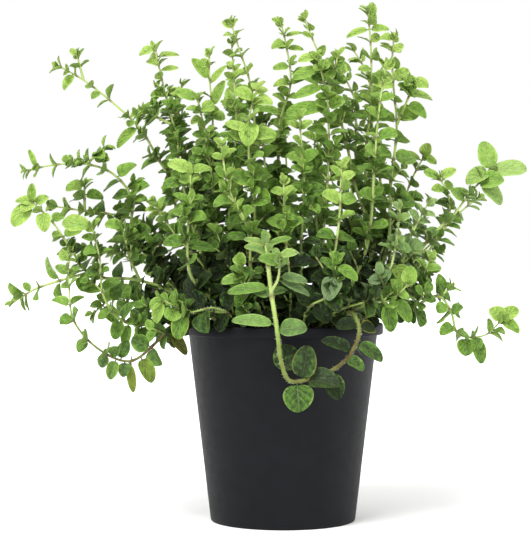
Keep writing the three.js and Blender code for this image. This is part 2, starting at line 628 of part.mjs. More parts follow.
// The hand-set leaves: each grows to its own tip, from its spray's nearest stem point or a few below it.
function growSetLeaves(stems, grid, leaves) {
  SPRAYS.forEach((spray, index) => {
    for (const [x, y, z, width, below = 0] of spray.blades ?? []) {
      const tip = new THREE.Vector3(x, y, z);
      const own = stems.filter((stem) => stem.spray === index);
      const roots = own.map((stem) => nearestIndex(stem.points, tip));
      const nearest = nearestIndex(own.map((stem, s) => stem.points[roots[s]]), tip);
      const stem = own[nearest];
      const i = Math.min(stem.points.length - 1, roots[nearest] - below);
      const along = tip.clone().sub(stem.points[i]);
      const length = along.length();
      const leaf = { ...makeLeaf(stem, i, along.normalize(), LIGHT, length, width), kept: true };
      settle(leaf, index, grid, leaves[index], SET_SHARE);
    }
  });
}

// The leaf pairs of a stem, from its tip down: closer and smaller towards the tip, each pair turned across
// the last.
function growPairs(stem, draw, grid, leaves) {
  const { leaf: size, gap, bare } = SPRAYS[stem.spray];
  const last = stem.points.length - 1;
  const lowest = last * (stem.parent ? 0.35 : bare);
  let turn = draw() * Math.PI;
  let pair = 0;
  for (let i = last; i >= lowest; pair++) {
    const grown = i / last;
    const length = size * LEAF_SCALE * (1.05 - 0.5 * grown ** 4);
    growPair(stem, i, turn, length, pair % PAIRS_KEPT === 0, draw, grid, leaves);
    turn += PHYLLOTAXY;
    const apart = gap * mix(0.74, 1.12, draw()) * (1.1 - 0.45 * grown ** 3);
    i -= Math.max(1, Math.round(apart / STEM_STEP));
  }
}

function growPair(stem, i, turn, size, kept, draw, grid, leaves) {
  const { points } = stem;
  const grown = i / (points.length - 1);
  const ahead = points[Math.min(i + 1, points.length - 1)];
  const axis = ahead.clone().sub(points[Math.max(i - 1, 0)]).normalize();
  const across = squareTo(axis);
  const other = axis.clone().cross(across);
  const open = mix(1.3, 0.75, grown ** 3);
  for (const side of [0, Math.PI]) {
    const lean = turn + side + (draw() - 0.5) * 0.5;
    const roll = (draw() - 0.5) * 0.9;
    const length = size * (0.88 + 0.24 * draw());
    const sag = mix(...LEAF_SAGS, draw());
    for (const [attempt, extra] of TURNS.entries()) {
      const radial = across.clone().multiplyScalar(Math.cos(lean + extra));
      radial.addScaledVector(other, Math.sin(lean + extra));
      const along = radial.clone().multiplyScalar(Math.sin(open));
      along.addScaledVector(axis, Math.cos(open));
      along.z -= sag * (1 - grown);
      along.normalize();
      const wish = faceWish(points[i], axis).addScaledVector(axis.clone().cross(radial), roll);
      const long = Math.max(LEAF_SMALLEST, length * (1 - 0.05 * attempt));
      const width = long * mix(LEAF_WIDTH, TIP_WIDTH, grown ** 6);
      const leaf = makeLeaf(stem, i, along, wish, long, width);
      leaf.kept = kept || long >= LARGE_LEAF;
      if (settle(leaf, stem.spray, grid, leaves[stem.spray], OWN_SHARE)) break;
    }
  }
}

// Where a blade would turn its face: up its stem, to the sky and out from the bush.
function faceWish(place, axis) {
  const out = new THREE.Vector3(place.x, place.y - OUT_FROM, 0).normalize();
  return axis.clone().multiplyScalar(FACE_AXIS).addScaledVector(out, FACE_OUT).addScaledVector(UP, FACE_SKY);
}

// Every stem and leaf of the plant, the leaves listed by spray.
function growPlant() {
  const stems = layStems();
  bendClear(stems);
  const grid = new BallGrid();
  for (const stem of stems)
    stem.points.forEach((p, i) => grid.add(p, radiusAt(stem, i) + 0.3, stem.spray, true));
  const leaves = SPRAYS.map(() => []);
  growSetLeaves(stems, grid, leaves);
  const draw = makeDraw(SEED);
  for (const stem of stems) growPairs(stem, draw, grid, leaves);
  return { stems, leaves };
}

// ---- Solids

// A manifold solid from vertices and outward triangles.
function solidOf(vertices, triangles) {
  const flat = Float32Array.from(vertices.flatMap((v) => [v.x, v.y, v.z]));
  return new wasm.Manifold(
    new wasm.Mesh({ numProp: 3, vertProperties: flat, triVerts: Uint32Array.from(triangles.flat()) }),
  );
}

// The same from a closed three.js geometry.
function solidFrom(geometry) {
  const bare = geometry.clone().deleteAttribute("normal").deleteAttribute("uv");
  const merged = mergeVertices(bare, 1e-4);
  return new wasm.Manifold(
    new wasm.Mesh({
      numProp: 3,
      vertProperties: merged.attributes.position.array,
      triVerts: Uint32Array.from(merged.index.array),
    }),
  );
}

// A three.js geometry from a manifold solid.
function geometryOf(solid) {
  const mesh = solid.getMesh();
  const geometry = new THREE.BufferGeometry();
  geometry.setAttribute("position", new THREE.BufferAttribute(mesh.vertProperties.slice(), 3));
  geometry.setIndex(new THREE.BufferAttribute(mesh.triVerts.slice(), 1));
  geometry.computeVertexNormals();
  return geometry;
}

// The indexes of the points that a path needs to stay within the tolerance of its full course.
function neededPoints(points, first, last, tolerance) {
  const chord = new THREE.Line3(points[first], points[last]);
  const near = new THREE.Vector3();
  let worst = tolerance;
  let split = 0;
  for (let i = first + 1; i < last; i++) {
    const off = chord.closestPointToPoint(points[i], true, near).distanceTo(points[i]);
    if (off > worst) [worst, split] = [off, i];
  }
  if (!split) return [last];
  return [
    ...neededPoints(points, first, split, tolerance),
    ...neededPoints(points, split, last, tolerance),
  ];
}

// A stem: a tapered tube with a few flat sides and closed ends.
function stemSolid(stem) {
  const { points } = stem;
  const sides = stem.parent ? 3 : STEM_SIDES;
  const kept = [0, ...neededPoints(points, 0, points.length - 1, THIN_TO)];
  const vertices = [];
  let across = null;
  kept.forEach((at, k) => {
    const before = points[kept[Math.max(k - 1, 0)]];
    const after = points[kept[Math.min(k + 1, kept.length - 1)]];
    const axis = after.clone().sub(before).normalize();
    across = across ? acrossOf(across, axis) : squareTo(axis);
    const other = axis.clone().cross(across);
    for (let side = 0; side < sides; side++) {
      const turn = (2 * Math.PI * side) / sides;
      vertices.push(
        points[at]
          .clone()
          .addScaledVector(across, radiusAt(stem, at) * Math.cos(turn))
          .addScaledVector(other, radiusAt(stem, at) * Math.sin(turn)),
      );
    }
  });
  const triangles = [];
  for (let k = 0; k + 1 < kept.length; k++)
    for (let side = 0; side < sides; side++) {
      const a = k * sides + side;
      const b = k * sides + ((side + 1) % sides);
      triangles.push([a, b, b + sides], [a, b + sides, a + sides]);
    }
  const end = (kept.length - 1) * sides;
  for (let side = 1; side + 1 < sides; side++)
    triangles.push([0, side + 1, side], [end, end + side, end + side + 1]);
  return solidOf(vertices, triangles);
}

// A leaf: a thin blade that widens from a point inside its stem, its two faces split alike. Past the
// first margin points each face is a fan round the blade's middle, or round its last margin point if small.
function bladeSolid(leaf) {
  const stations = BLADE_STATIONS.find(([least]) => leaf.length >= least)[1];
  const margin = [
    ...stations.map((s) => leafPoint(leaf, s, -1)),
    leafPoint(leaf, 1, 0),
    ...stations.toReversed().map((s) => leafPoint(leaf, s, 1)),
  ];
  const face = [...margin];
  const left = margin.length - 1;
  const fans = [];
  if (leaf.length >= FOLDED_FROM) {
    const middle = face.push(leafPoint(leaf, 0.5, 0)) - 1;
    margin.forEach((_, i) => fans.push([middle, i, (i + 1) % margin.length]));
  } else for (let i = 1; i < left; i++) fans.push([left, i - 1, i]);
  const half = leaf.up.clone().multiplyScalar(LEAF_THICKNESS / 2);
  const root = leaf.root.clone().addScaledVector(leaf.along, -ROOT_SUNK * leaf.neck);
  const vertices = [root, ...face.map((p) => p.clone().add(half)), ...face.map((p) => p.clone().sub(half))];
  const over = 1;
  const under = 1 + face.length;
  const triangles = [
    [0, over, over + left],
    [0, under + left, under],
    [0, under, over],
    [0, over + left, under + left],
  ];
  for (const [a, b, c] of fans)
    triangles.push([over + a, over + b, over + c], [under + a, under + c, under + b]);
  for (let i = 0; i < left; i++)
    triangles.push([over + i, under + i, under + i + 1], [over + i, under + i + 1, over + i + 1]);
  return solidOf(vertices, triangles);
}

const joined = (solids) => solids.reduce((all, next) => all.add(next));

// ---- Pieces

function finish(name, solid, colour, roughness) {
  const material = new THREE.MeshStandardMaterial({ color: colour, roughness, metalness: 0 });
  const mesh = new THREE.Mesh(geometryOf(solid), material);
  mesh.name = name;
  return mesh;
}

// A solid turned about the Z axis from a profile of [radius, height] points.
function turned(profile) {
  const points = profile.map(([r, z]) => new THREE.Vector2(r, z));
  return solidFrom(new THREE.LatheGeometry(points, POT_SIDES).rotateX(Math.PI / 2));
}

// A vertical prism, used to cut the holes.
function prism(x, y, low, high, radius, sides) {
  const geometry = new THREE.CylinderGeometry(radius, radius, high - low, sides);
  geometry.rotateX(Math.PI / 2).translate(x, y, (low + high) / 2);
  return solidFrom(geometry);
}

function makePot() {
  const band = POT_HEIGHT - POT_RIM_DEPTH;
  const inner = POT_FOOT_RADIUS - POT_WALL;
  const lip = POT_TOP_RADIUS - POT_WALL;
  const profile = [
    [0, 0],
    [14, 0],
    [16, POT_RECESS],
    [inner - 5, POT_RECESS],
    [inner - 3, 0],
    [POT_FOOT_RADIUS - 1, 0],
    [POT_FOOT_RADIUS, 1],
    [POT_TOP_RADIUS, band],
    [POT_RIM_RADIUS, band + 0.6],
    [POT_RIM_RADIUS, POT_HEIGHT - 0.8],
    [POT_RIM_RADIUS - 0.8, POT_HEIGHT],
    [lip + 0.8, POT_HEIGHT],
    [lip, POT_HEIGHT - 0.8],
    [inner, POT_FLOOR],
    [0, POT_FLOOR],
  ];
  let pot = turned(profile);
  for (let i = 0; i < DRAIN_HOLES; i++) {
    const turn = (2 * Math.PI * i) / DRAIN_HOLES;
    const [x, y] = [DRAIN_CIRCLE * Math.cos(turn), DRAIN_CIRCLE * Math.sin(turn)];
    pot = pot.subtract(prism(x, y, -1, POT_FLOOR + 1, DRAIN_RADIUS, HOLE_SIDES));
  }
  return finish("pot", pot, "#1d2029", 0.5);
}

// The soil: a lumpy top on a block that follows the inside of the pot, with a hole for each stem.
function makeSoil() {
  const wallAt = (z) =>
    mix(POT_FOOT_RADIUS - POT_WALL, POT_TOP_RADIUS - POT_WALL, (z - POT_FLOOR) / (POT_HEIGHT - POT_FLOOR));
  const low = POT_FLOOR + FIT_GAP;
  const edge = wallAt(SOIL_TOP) - FIT_GAP - 0.2;
  const profile = [[0, low], [wallAt(low) - FIT_GAP - 0.2, low], [edge, SOIL_TOP]];
  for (const share of [0.72, 0.38]) profile.push([edge * share, SOIL_TOP]);
  profile.push([0, SOIL_TOP]);
  const points = profile.map(([r, z]) => new THREE.Vector2(r, z));
  const geometry = new THREE.LatheGeometry(points, POT_SIDES).rotateX(Math.PI / 2);
  const place = geometry.attributes.position;
  for (let i = 0; i < place.count; i++) {
    const [x, y, z] = [place.getX(i), place.getY(i), place.getZ(i)];
    if (z < SOIL_TOP - 1 || Math.hypot(x, y) > edge - 1) continue;
    place.setZ(i, z + SOIL_RISE * Math.sin(x / 9) * Math.cos(y / 7));
  }
  let soil = solidFrom(geometry);
  for (const { route, radius } of SPRAYS) {
    const [x, y] = route[0];
    const wide = (radius + FIT_GAP + 0.1) / Math.cos(Math.PI / HOLE_SIDES);
    soil = soil.subtract(prism(x, y, HOLE_FLOOR, POT_HEIGHT, wide, HOLE_SIDES));
  }
  return finish("soil", soil, "#2a211b", 0.95);
}

// The same solid with the specks of air filled that blades seal in where several meet at a stem's tip.
function filled(solid) {
  const shells = solid.decompose().filter((shell) => shell.volume() > 0);
  return shells.reduce((whole, shell) => whole.add(shell));
}

// One mesh for each spray, placed where it is rooted.
function makeSprays() {
  const { stems, leaves } = growPlant();
  return SPRAYS.map((spray, index) => {
    const [x, y, z] = spray.route[0];
    const pieces = stems.filter((stem) => stem.spray === index).map(stemSolid);
    const blades = leaves[index].filter((leaf) => leaf.kept).map(bladeSolid);
    const solid = filled(joined([...pieces, ...blades]).simplify(FUSE_TOLERANCE));
    const mesh = finish(spray.name, solid, "#5f9a35", 0.6);
    mesh.geometry.translate(-x, -y, -z);
    mesh.position.set(x, y, z);
    return mesh;
  });
}

const plant = new THREE.Group().add(...makeSprays());
const holder = new THREE.Group().add(makePot(), makeSoil());
const oregano = new THREE.Group().add(holder, plant);

export default oregano;
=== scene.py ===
"""An oregano plant in a plain nursery pot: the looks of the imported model.

Every spray grows here by the rule that shapes the solids, in millimetres, so its stems and leaves stand
where theirs do. The meshes are then made finer and scaled to metres.
"""

import json
import math

import bpy
import numpy as np
from bpy.props import FloatProperty, IntProperty, PointerProperty, StringProperty
from bpy.types import Operator, Panel, PropertyGroup
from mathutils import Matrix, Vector
from mathutils.kdtree import KDTree
from mathutils.noise import turbulence

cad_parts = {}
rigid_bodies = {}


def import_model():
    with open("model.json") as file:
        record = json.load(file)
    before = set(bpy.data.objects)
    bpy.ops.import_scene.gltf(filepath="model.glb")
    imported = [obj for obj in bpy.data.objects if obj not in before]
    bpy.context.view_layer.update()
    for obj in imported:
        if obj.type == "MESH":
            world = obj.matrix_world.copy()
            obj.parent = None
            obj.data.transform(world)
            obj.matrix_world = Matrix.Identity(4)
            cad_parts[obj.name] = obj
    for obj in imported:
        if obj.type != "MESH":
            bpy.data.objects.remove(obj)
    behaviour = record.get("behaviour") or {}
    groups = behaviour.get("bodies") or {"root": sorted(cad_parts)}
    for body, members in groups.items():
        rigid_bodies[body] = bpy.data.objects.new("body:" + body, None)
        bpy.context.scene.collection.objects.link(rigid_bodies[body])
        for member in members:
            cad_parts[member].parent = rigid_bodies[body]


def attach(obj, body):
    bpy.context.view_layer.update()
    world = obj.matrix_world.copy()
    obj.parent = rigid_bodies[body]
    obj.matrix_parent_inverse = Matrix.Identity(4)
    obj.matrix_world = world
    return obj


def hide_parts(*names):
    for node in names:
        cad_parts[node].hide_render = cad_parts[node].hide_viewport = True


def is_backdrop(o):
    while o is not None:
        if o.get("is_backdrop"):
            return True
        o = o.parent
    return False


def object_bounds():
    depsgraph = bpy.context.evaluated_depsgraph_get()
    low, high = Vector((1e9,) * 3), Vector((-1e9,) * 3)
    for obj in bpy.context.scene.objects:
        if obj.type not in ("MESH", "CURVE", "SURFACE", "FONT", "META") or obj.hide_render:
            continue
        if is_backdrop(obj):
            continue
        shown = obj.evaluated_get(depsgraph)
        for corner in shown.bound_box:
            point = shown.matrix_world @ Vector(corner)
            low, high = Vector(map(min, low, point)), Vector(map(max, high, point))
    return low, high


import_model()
CAD_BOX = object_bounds()

bl_info = {
    "name": "Oregano in a nursery pot",
    "version": (1, 0, 0),
    "blender": (4, 5, 0),
    "location": "3D View > Sidebar > Oregano",
    "description": "Grows an oregano plant in its pot around the packed model",
    "category": "Object",
}

MM = 0.001
BODY = "root"

# Pot, in millimetres.
POT_HEIGHT = 128
POT_RIM_RADIUS = 65
POT_TOP_RADIUS = 62
POT_FOOT_RADIUS = 47
POT_WALL = 1.6
POT_RIM_DEPTH = 7
POT_FLOOR = 4.3
POT_RECESS = 2.5
POT_SHARP = math.radians(40)
DRAIN_HOLES = 6
DRAIN_RADIUS = 4.5
DRAIN_CIRCLE = 30
DRAIN_SIDES = 32

# Peat, in millimetres: a gentle heap with lumps on it, then loose crumbs.
SOIL_TOP = 116
SOIL_RISE = 1.6
SOIL_LOW = 4.8
SOIL_GAP = 0.4
SOIL_SIDES = 120
SOIL_RINGS = 44
SOIL_WAVES = (9, 7)
SOIL_SHARP = math.radians(60)
SOIL_SEED = 11
LUMP_SPACING = 7
LUMP_OCTAVES = 4
LUMP_DEPTH = 2.2
LUMP_SINK = 1.2
CRUMB_REACH = 0.97
CRUMB_RADII = (0.7, 2.4)
CRUMB_RAISE = 0.2
CRUMB_CORNERS = (0.6, 1.3)
CRUMB_BULGES = (1.2, 1.7)

# Stems. Each is rooted below the soil and stays straight up to a level above it.
ROOT_LEVEL = 106
STRAIGHT_LEVEL = 121
STEM_STEP = 3
STEM_TIP = 0.8
STEM_GAP = 1.5
STEM_MARGIN = 0.3
SHOOT_RADIUS = 0.7
SHOOT_BARE = 0.35
BEND_ROUNDS = 40
BEND_REACH = 4
BEND_EASE = 3
NEAR_PAIRS = 22
ROOTED_POINTS = 6
HOLD_SPAN = 4
RIM_CIRCLE = 63.5
RIM_LEVEL = 124.5
RIM_CLEARANCE = 5
POT_MARGIN = 1

# Leaves. A pair of numbers is a range for the draw, or a start and what is taken from it as a stem ends.
SEED = 20
LEAF_SCALE = 1.02
LEAF_WIDTH = 0.84
TIP_WIDTH = 0.6
LEAF_DROOP = 0.16
LEAF_SAGS = (0.1, 0.6)
LEAF_FOLD = 0.22
LEAF_SMALLEST = 4.5
BLADE_SHIFT = 0.84
BLADE_ROUND = 0.42
PETIOLE = 0.12
PAIR_LENGTH, PAIR_TAPER = 1.05, 0.5
PAIR_SPREADS = (1.3, 0.75)
PAIR_GAPS = (0.74, 1.12)
GAP_LOW, GAP_TAPER = 1.1, 0.45
FULL_LEAST, FULL_SPAN = 0.88, 0.24
LEAN_JITTER = 0.5
ROLL_JITTER = 0.9
PHYLLOTAXY = math.pi / 2
OUT_FROM = 50
FACE_AXIS = 0.4
FACE_OUT = 1.0
FACE_SKY = 0.5
LIGHT = (0.0, -0.8, 0.6)

# What keeps leaves apart: balls along each blade, and the turns that are tried until they are clear.
BALL_SHARE = 0.11
BALL_LEAST = 0.35
BALL_TIP = 0.7
BALL_STATIONS = (0.22, 0.4, 0.58, 0.76, 0.92)
BALL_SIDES = (-0.7, 0, 0.7)
MAX_BALL = 3
OWN_SHARE = 0.55
SET_SHARE = 0.25
TURNS = (0, 0.45, -0.45, 0.9, -0.9, 1.3, -1.3)
TRY_SHRINK = 0.05

# Finer than the solids: blades by least length, with their stations along and quads across.
BLADE_GRIDS = (
    (13, (0, 0.06, 0.12, 0.14, 0.2, 0.3, 0.43, 0.57, 0.71, 0.83, 0.92, 0.98, 1), 6),
    (9, (0, 0.12, 0.15, 0.24, 0.38, 0.56, 0.75, 0.9, 0.975, 1), 4),
    (0, (0, 0.13, 0.2, 0.36, 0.58, 0.8, 0.94, 1), 2),
)
BLADE_THICKNESS = 0.35
STALK_HALF = 0.45
STALK_THICKNESS = 0.8
STALK_BLEND = 1.6
POINT_TAPER = 0.3
POINT_HALF = 0.1
LEAF_CUPS = (1.0, 2.8)
LEAF_WAVE = 0.14
LEAF_WAVES = 1.4
LEAF_CURLS = (-0.14, 0.06)
LEAF_TWISTS = (-0.45, 0.45)
STEM_SIDES = 8
STEM_CORNER = 0.07
STEM_END = 0.5
STEM_SLIM = 0.9
NODE_SWELLING = 0.3
SHARP_ANGLE = math.radians(70)
UPPER, UNDER, BARK, DOWN = 0, 1, 2, 3
LOOKS_SEED = 401

# Short hairs on the stems. Real ones are too fine to show, so these are fewer and thicker.
HAIRS_PER_STEP = 7
HAIR_LENGTH = 0.8
HAIR_LENGTHS = (0.6, 0.8)
HAIR_HALF = 0.09
HAIR_SUNK = 0.05
HAIR_JITTER = 0.4
HAIR_CORNER = 0.866

# Young pairs at the tips, from the topmost down.
SMALL_SEED = 97
SMALL_SHARE = 0.3
SMALL_TURNS = 5
SMALL_LENGTHS = (0.85, 1.15)
SMALL_JITTER = 0.6
TIP_SPREADS = (0.3, 0.62, 1.0)
TIP_LENGTHS = (5.6, 8.2, 9.2)
TIP_GAPS = (0, 1, 3)

# Old small leaves low on the stems: their gap and lengths as shares of the spray's own.
LOW_GAP = 0.8
LOW_SHOOT = 0.12
LOW_LENGTHS = (0.5, 0.85)
LOW_CROWD = 0.3
LOW_SPREAD = 1.3

# Leafy twigs in the axils. More grow where more sprays pass within reach, up to that many of them.
CROWD_REACH = 25
CROWD_FULL = 2
TWIG_TOP = 0.85
TWIG_SHARE = 0.8
TWIG_LENGTHS = (6, 24)
TWIG_TAPER = 0.6
TWIG_ROOT = 0.75
TWIG_END = 0.45
TWIG_STEP = 2
TWIG_GAP = 5.5
TWIG_LEAN = 0.9
TWIG_RISE = 0.3
TWIG_BEND = 0.25
TWIG_LIFT = 0.06
TWIG_LEAVES = (6.5, 10)
TWIG_SPREAD = 1.15
TWIG_SMALLEST, TWIG_LARGER = 0.75, 0.4
# The hanging loop stays bare, and the low sprays at the left fill out with longer twigs.
BARE_SPRAYS = ("front_trailing",)
BUSHY_SPRAYS = ("left_low_outer", "left_inner_low", "left_level_inner", "rear_left_low")
BUSHY_LENGTH = 1.6
# Low inside the bush and before this depth twigs are thinned, so that the stems there can be seen.
TWIG_THINNING = 0.75
THIN_WITHIN = 80
THIN_BEFORE = 10

# How light a leaf is: a start, and what age, place, size and chance add to it. High up it is lighter, both
# for younger leaves and as painted light from above.
LIGHT_PLAIN = 0.6
LIGHT_GROWN = 0.1
LIGHT_TIP = 0.2
LIGHT_CHANCE = 0.26
HIGH_YOUNG_AND_PAINTED_LIGHT = 0.14
HIGH_LEVEL = 200
HIGH_SPAN = 100
LIGHT_SMALL = 0.1
SMALL_LEAF = 8
WARM_CHANCE = 0.2
# How light a stem is, by the same things, with a little painted shade. It is green from that height above
# the soil.
STEM_HIGH = 0.6
STEM_GROWN = 0.5
STEM_LIFT = 0.4
STEM_SHADE = 0.14
STEM_GREEN = 42
# Leaves outside a place shade it, fully once there are that many.
SHADE_DEPTH = 0.4
SHADE_REACH = 24
SHADE_STEP = 14
SHADE_FULL = 85
OUT_LEVEL = 150
# Painted shade: leaves low inside the bush are painted the darkest, and those that hang below the rim a
# little darker.
DARK_BELOW = 190
DARK_DEPTH = 44
DARK_WITHIN = 96
DARK_SPAN = 34
HANGING_SPAN = 14
HANGING_SHARE = 0.14

# A spray's own cast: how silvery (towards 0) or yellow (towards 1), and how much lighter or darker.
CASTS = {
    "right_far": (0.3, -0.08),
    "right_far_side": (0.3, -0.05),
    "right_silvery": (0.12, 0.1),
    "right_silvery_front": (0.15, 0.1),
    "left_hanging": (0.42, 0.0),
    "left_rim": (0.53, 0.0),
    "front_trailing": (0.27, 0.05),
    "front_left_light": (0.44, 0.42),
    "upright_front_centre": (0.47, 0.06),
}
PLAIN_CAST = (0.5, 0.0)
# The same two for single leaves, by where their tips are: yellowing ones under the rim, a greyish one, a
# dark one at the left, and those on the loop in front and behind it.
TINTS = {
    (-81, -62, 95): (0.8, -0.04),
    (-93, -60, 88): (0.85, 0.0),
    (-60, -60, 112): (0.8, -0.05),
    (27, -76, 147): (0.05, -0.12),
    (79, -65, 156): (0.78, -0.1),
    (-130, -22, 178): (0.45, -0.3),
    (9, -88, 79): (0.45, 0.16),
    (2, -78, 120): (0.45, 0.14),
    (14, -88, 118): (0.42, 0.06),
    (32, -90, 97): (0.4, -0.16),
    (33, -84, 86): (0.45, -0.04),
    (25, -82, 123): (0.45, -0.26),
    (48, -68, 113): (0.45, -0.26),
    (61, -76, 111): (0.45, -0.22),
    (48, -82, 105): (0.45, -0.04),
    (32, -72, 130): (0.45, -0.2),
    (57, -66, 129): (0.45, -0.24),
}

# Veins, as shares of a blade: midrib's width, gap between side veins, and how those slant and bow. Real
# side veins are finer and more than can show, so fewer and wider ones are drawn.
MIDRIB = 0.12
MIDRIB_FULL = 0.3
VEIN_GAP = 0.25
VEIN_WIDTH = 0.3
VEIN_SLANT = 0.32
VEIN_BOW = 0.26
VEIN_FAINTER = 0.7
VEIN_DEPTH = 0.75

# Sizes of the patterns, in millimetres. Leaf down, moulded grain and stem ribs are finer on the real
# things than can show, so they are drawn this coarse.
LEAF_MOTTLE = 2.4
LEAF_DOWN = 0.5
LEAF_PUCKER = 1.1
STEM_PATCH = 5.0
STEM_RIB = 0.7
STEM_RIB_DEPTH = 0.15
POT_PATCH = 14.0
POT_WEAR = 6.0
POT_GRAIN = 0.6
POT_GRAIN_DEPTH = 0.05
PEAT_CRUMB = 2.5
PEAT_DEPTH = 0.8

# Stage, in metres.
FLOOR_RADIUS = 8
FLOOR_SIDES = 96
SENSOR = 36
FRAME_HEIGHT = 0.351
FRAME_MIDDLE = 0.16245
CAMERA_ASIDE = -0.0117
CAMERA_HEIGHT = 0.185
LAMP_AIM = (0, 0, 0.18)
LAMPS = (("key", (-0.5, -0.9, 1.5), 25, 1.0), ("fill", (1.1, -0.8, 0.9), 60, 0.25))
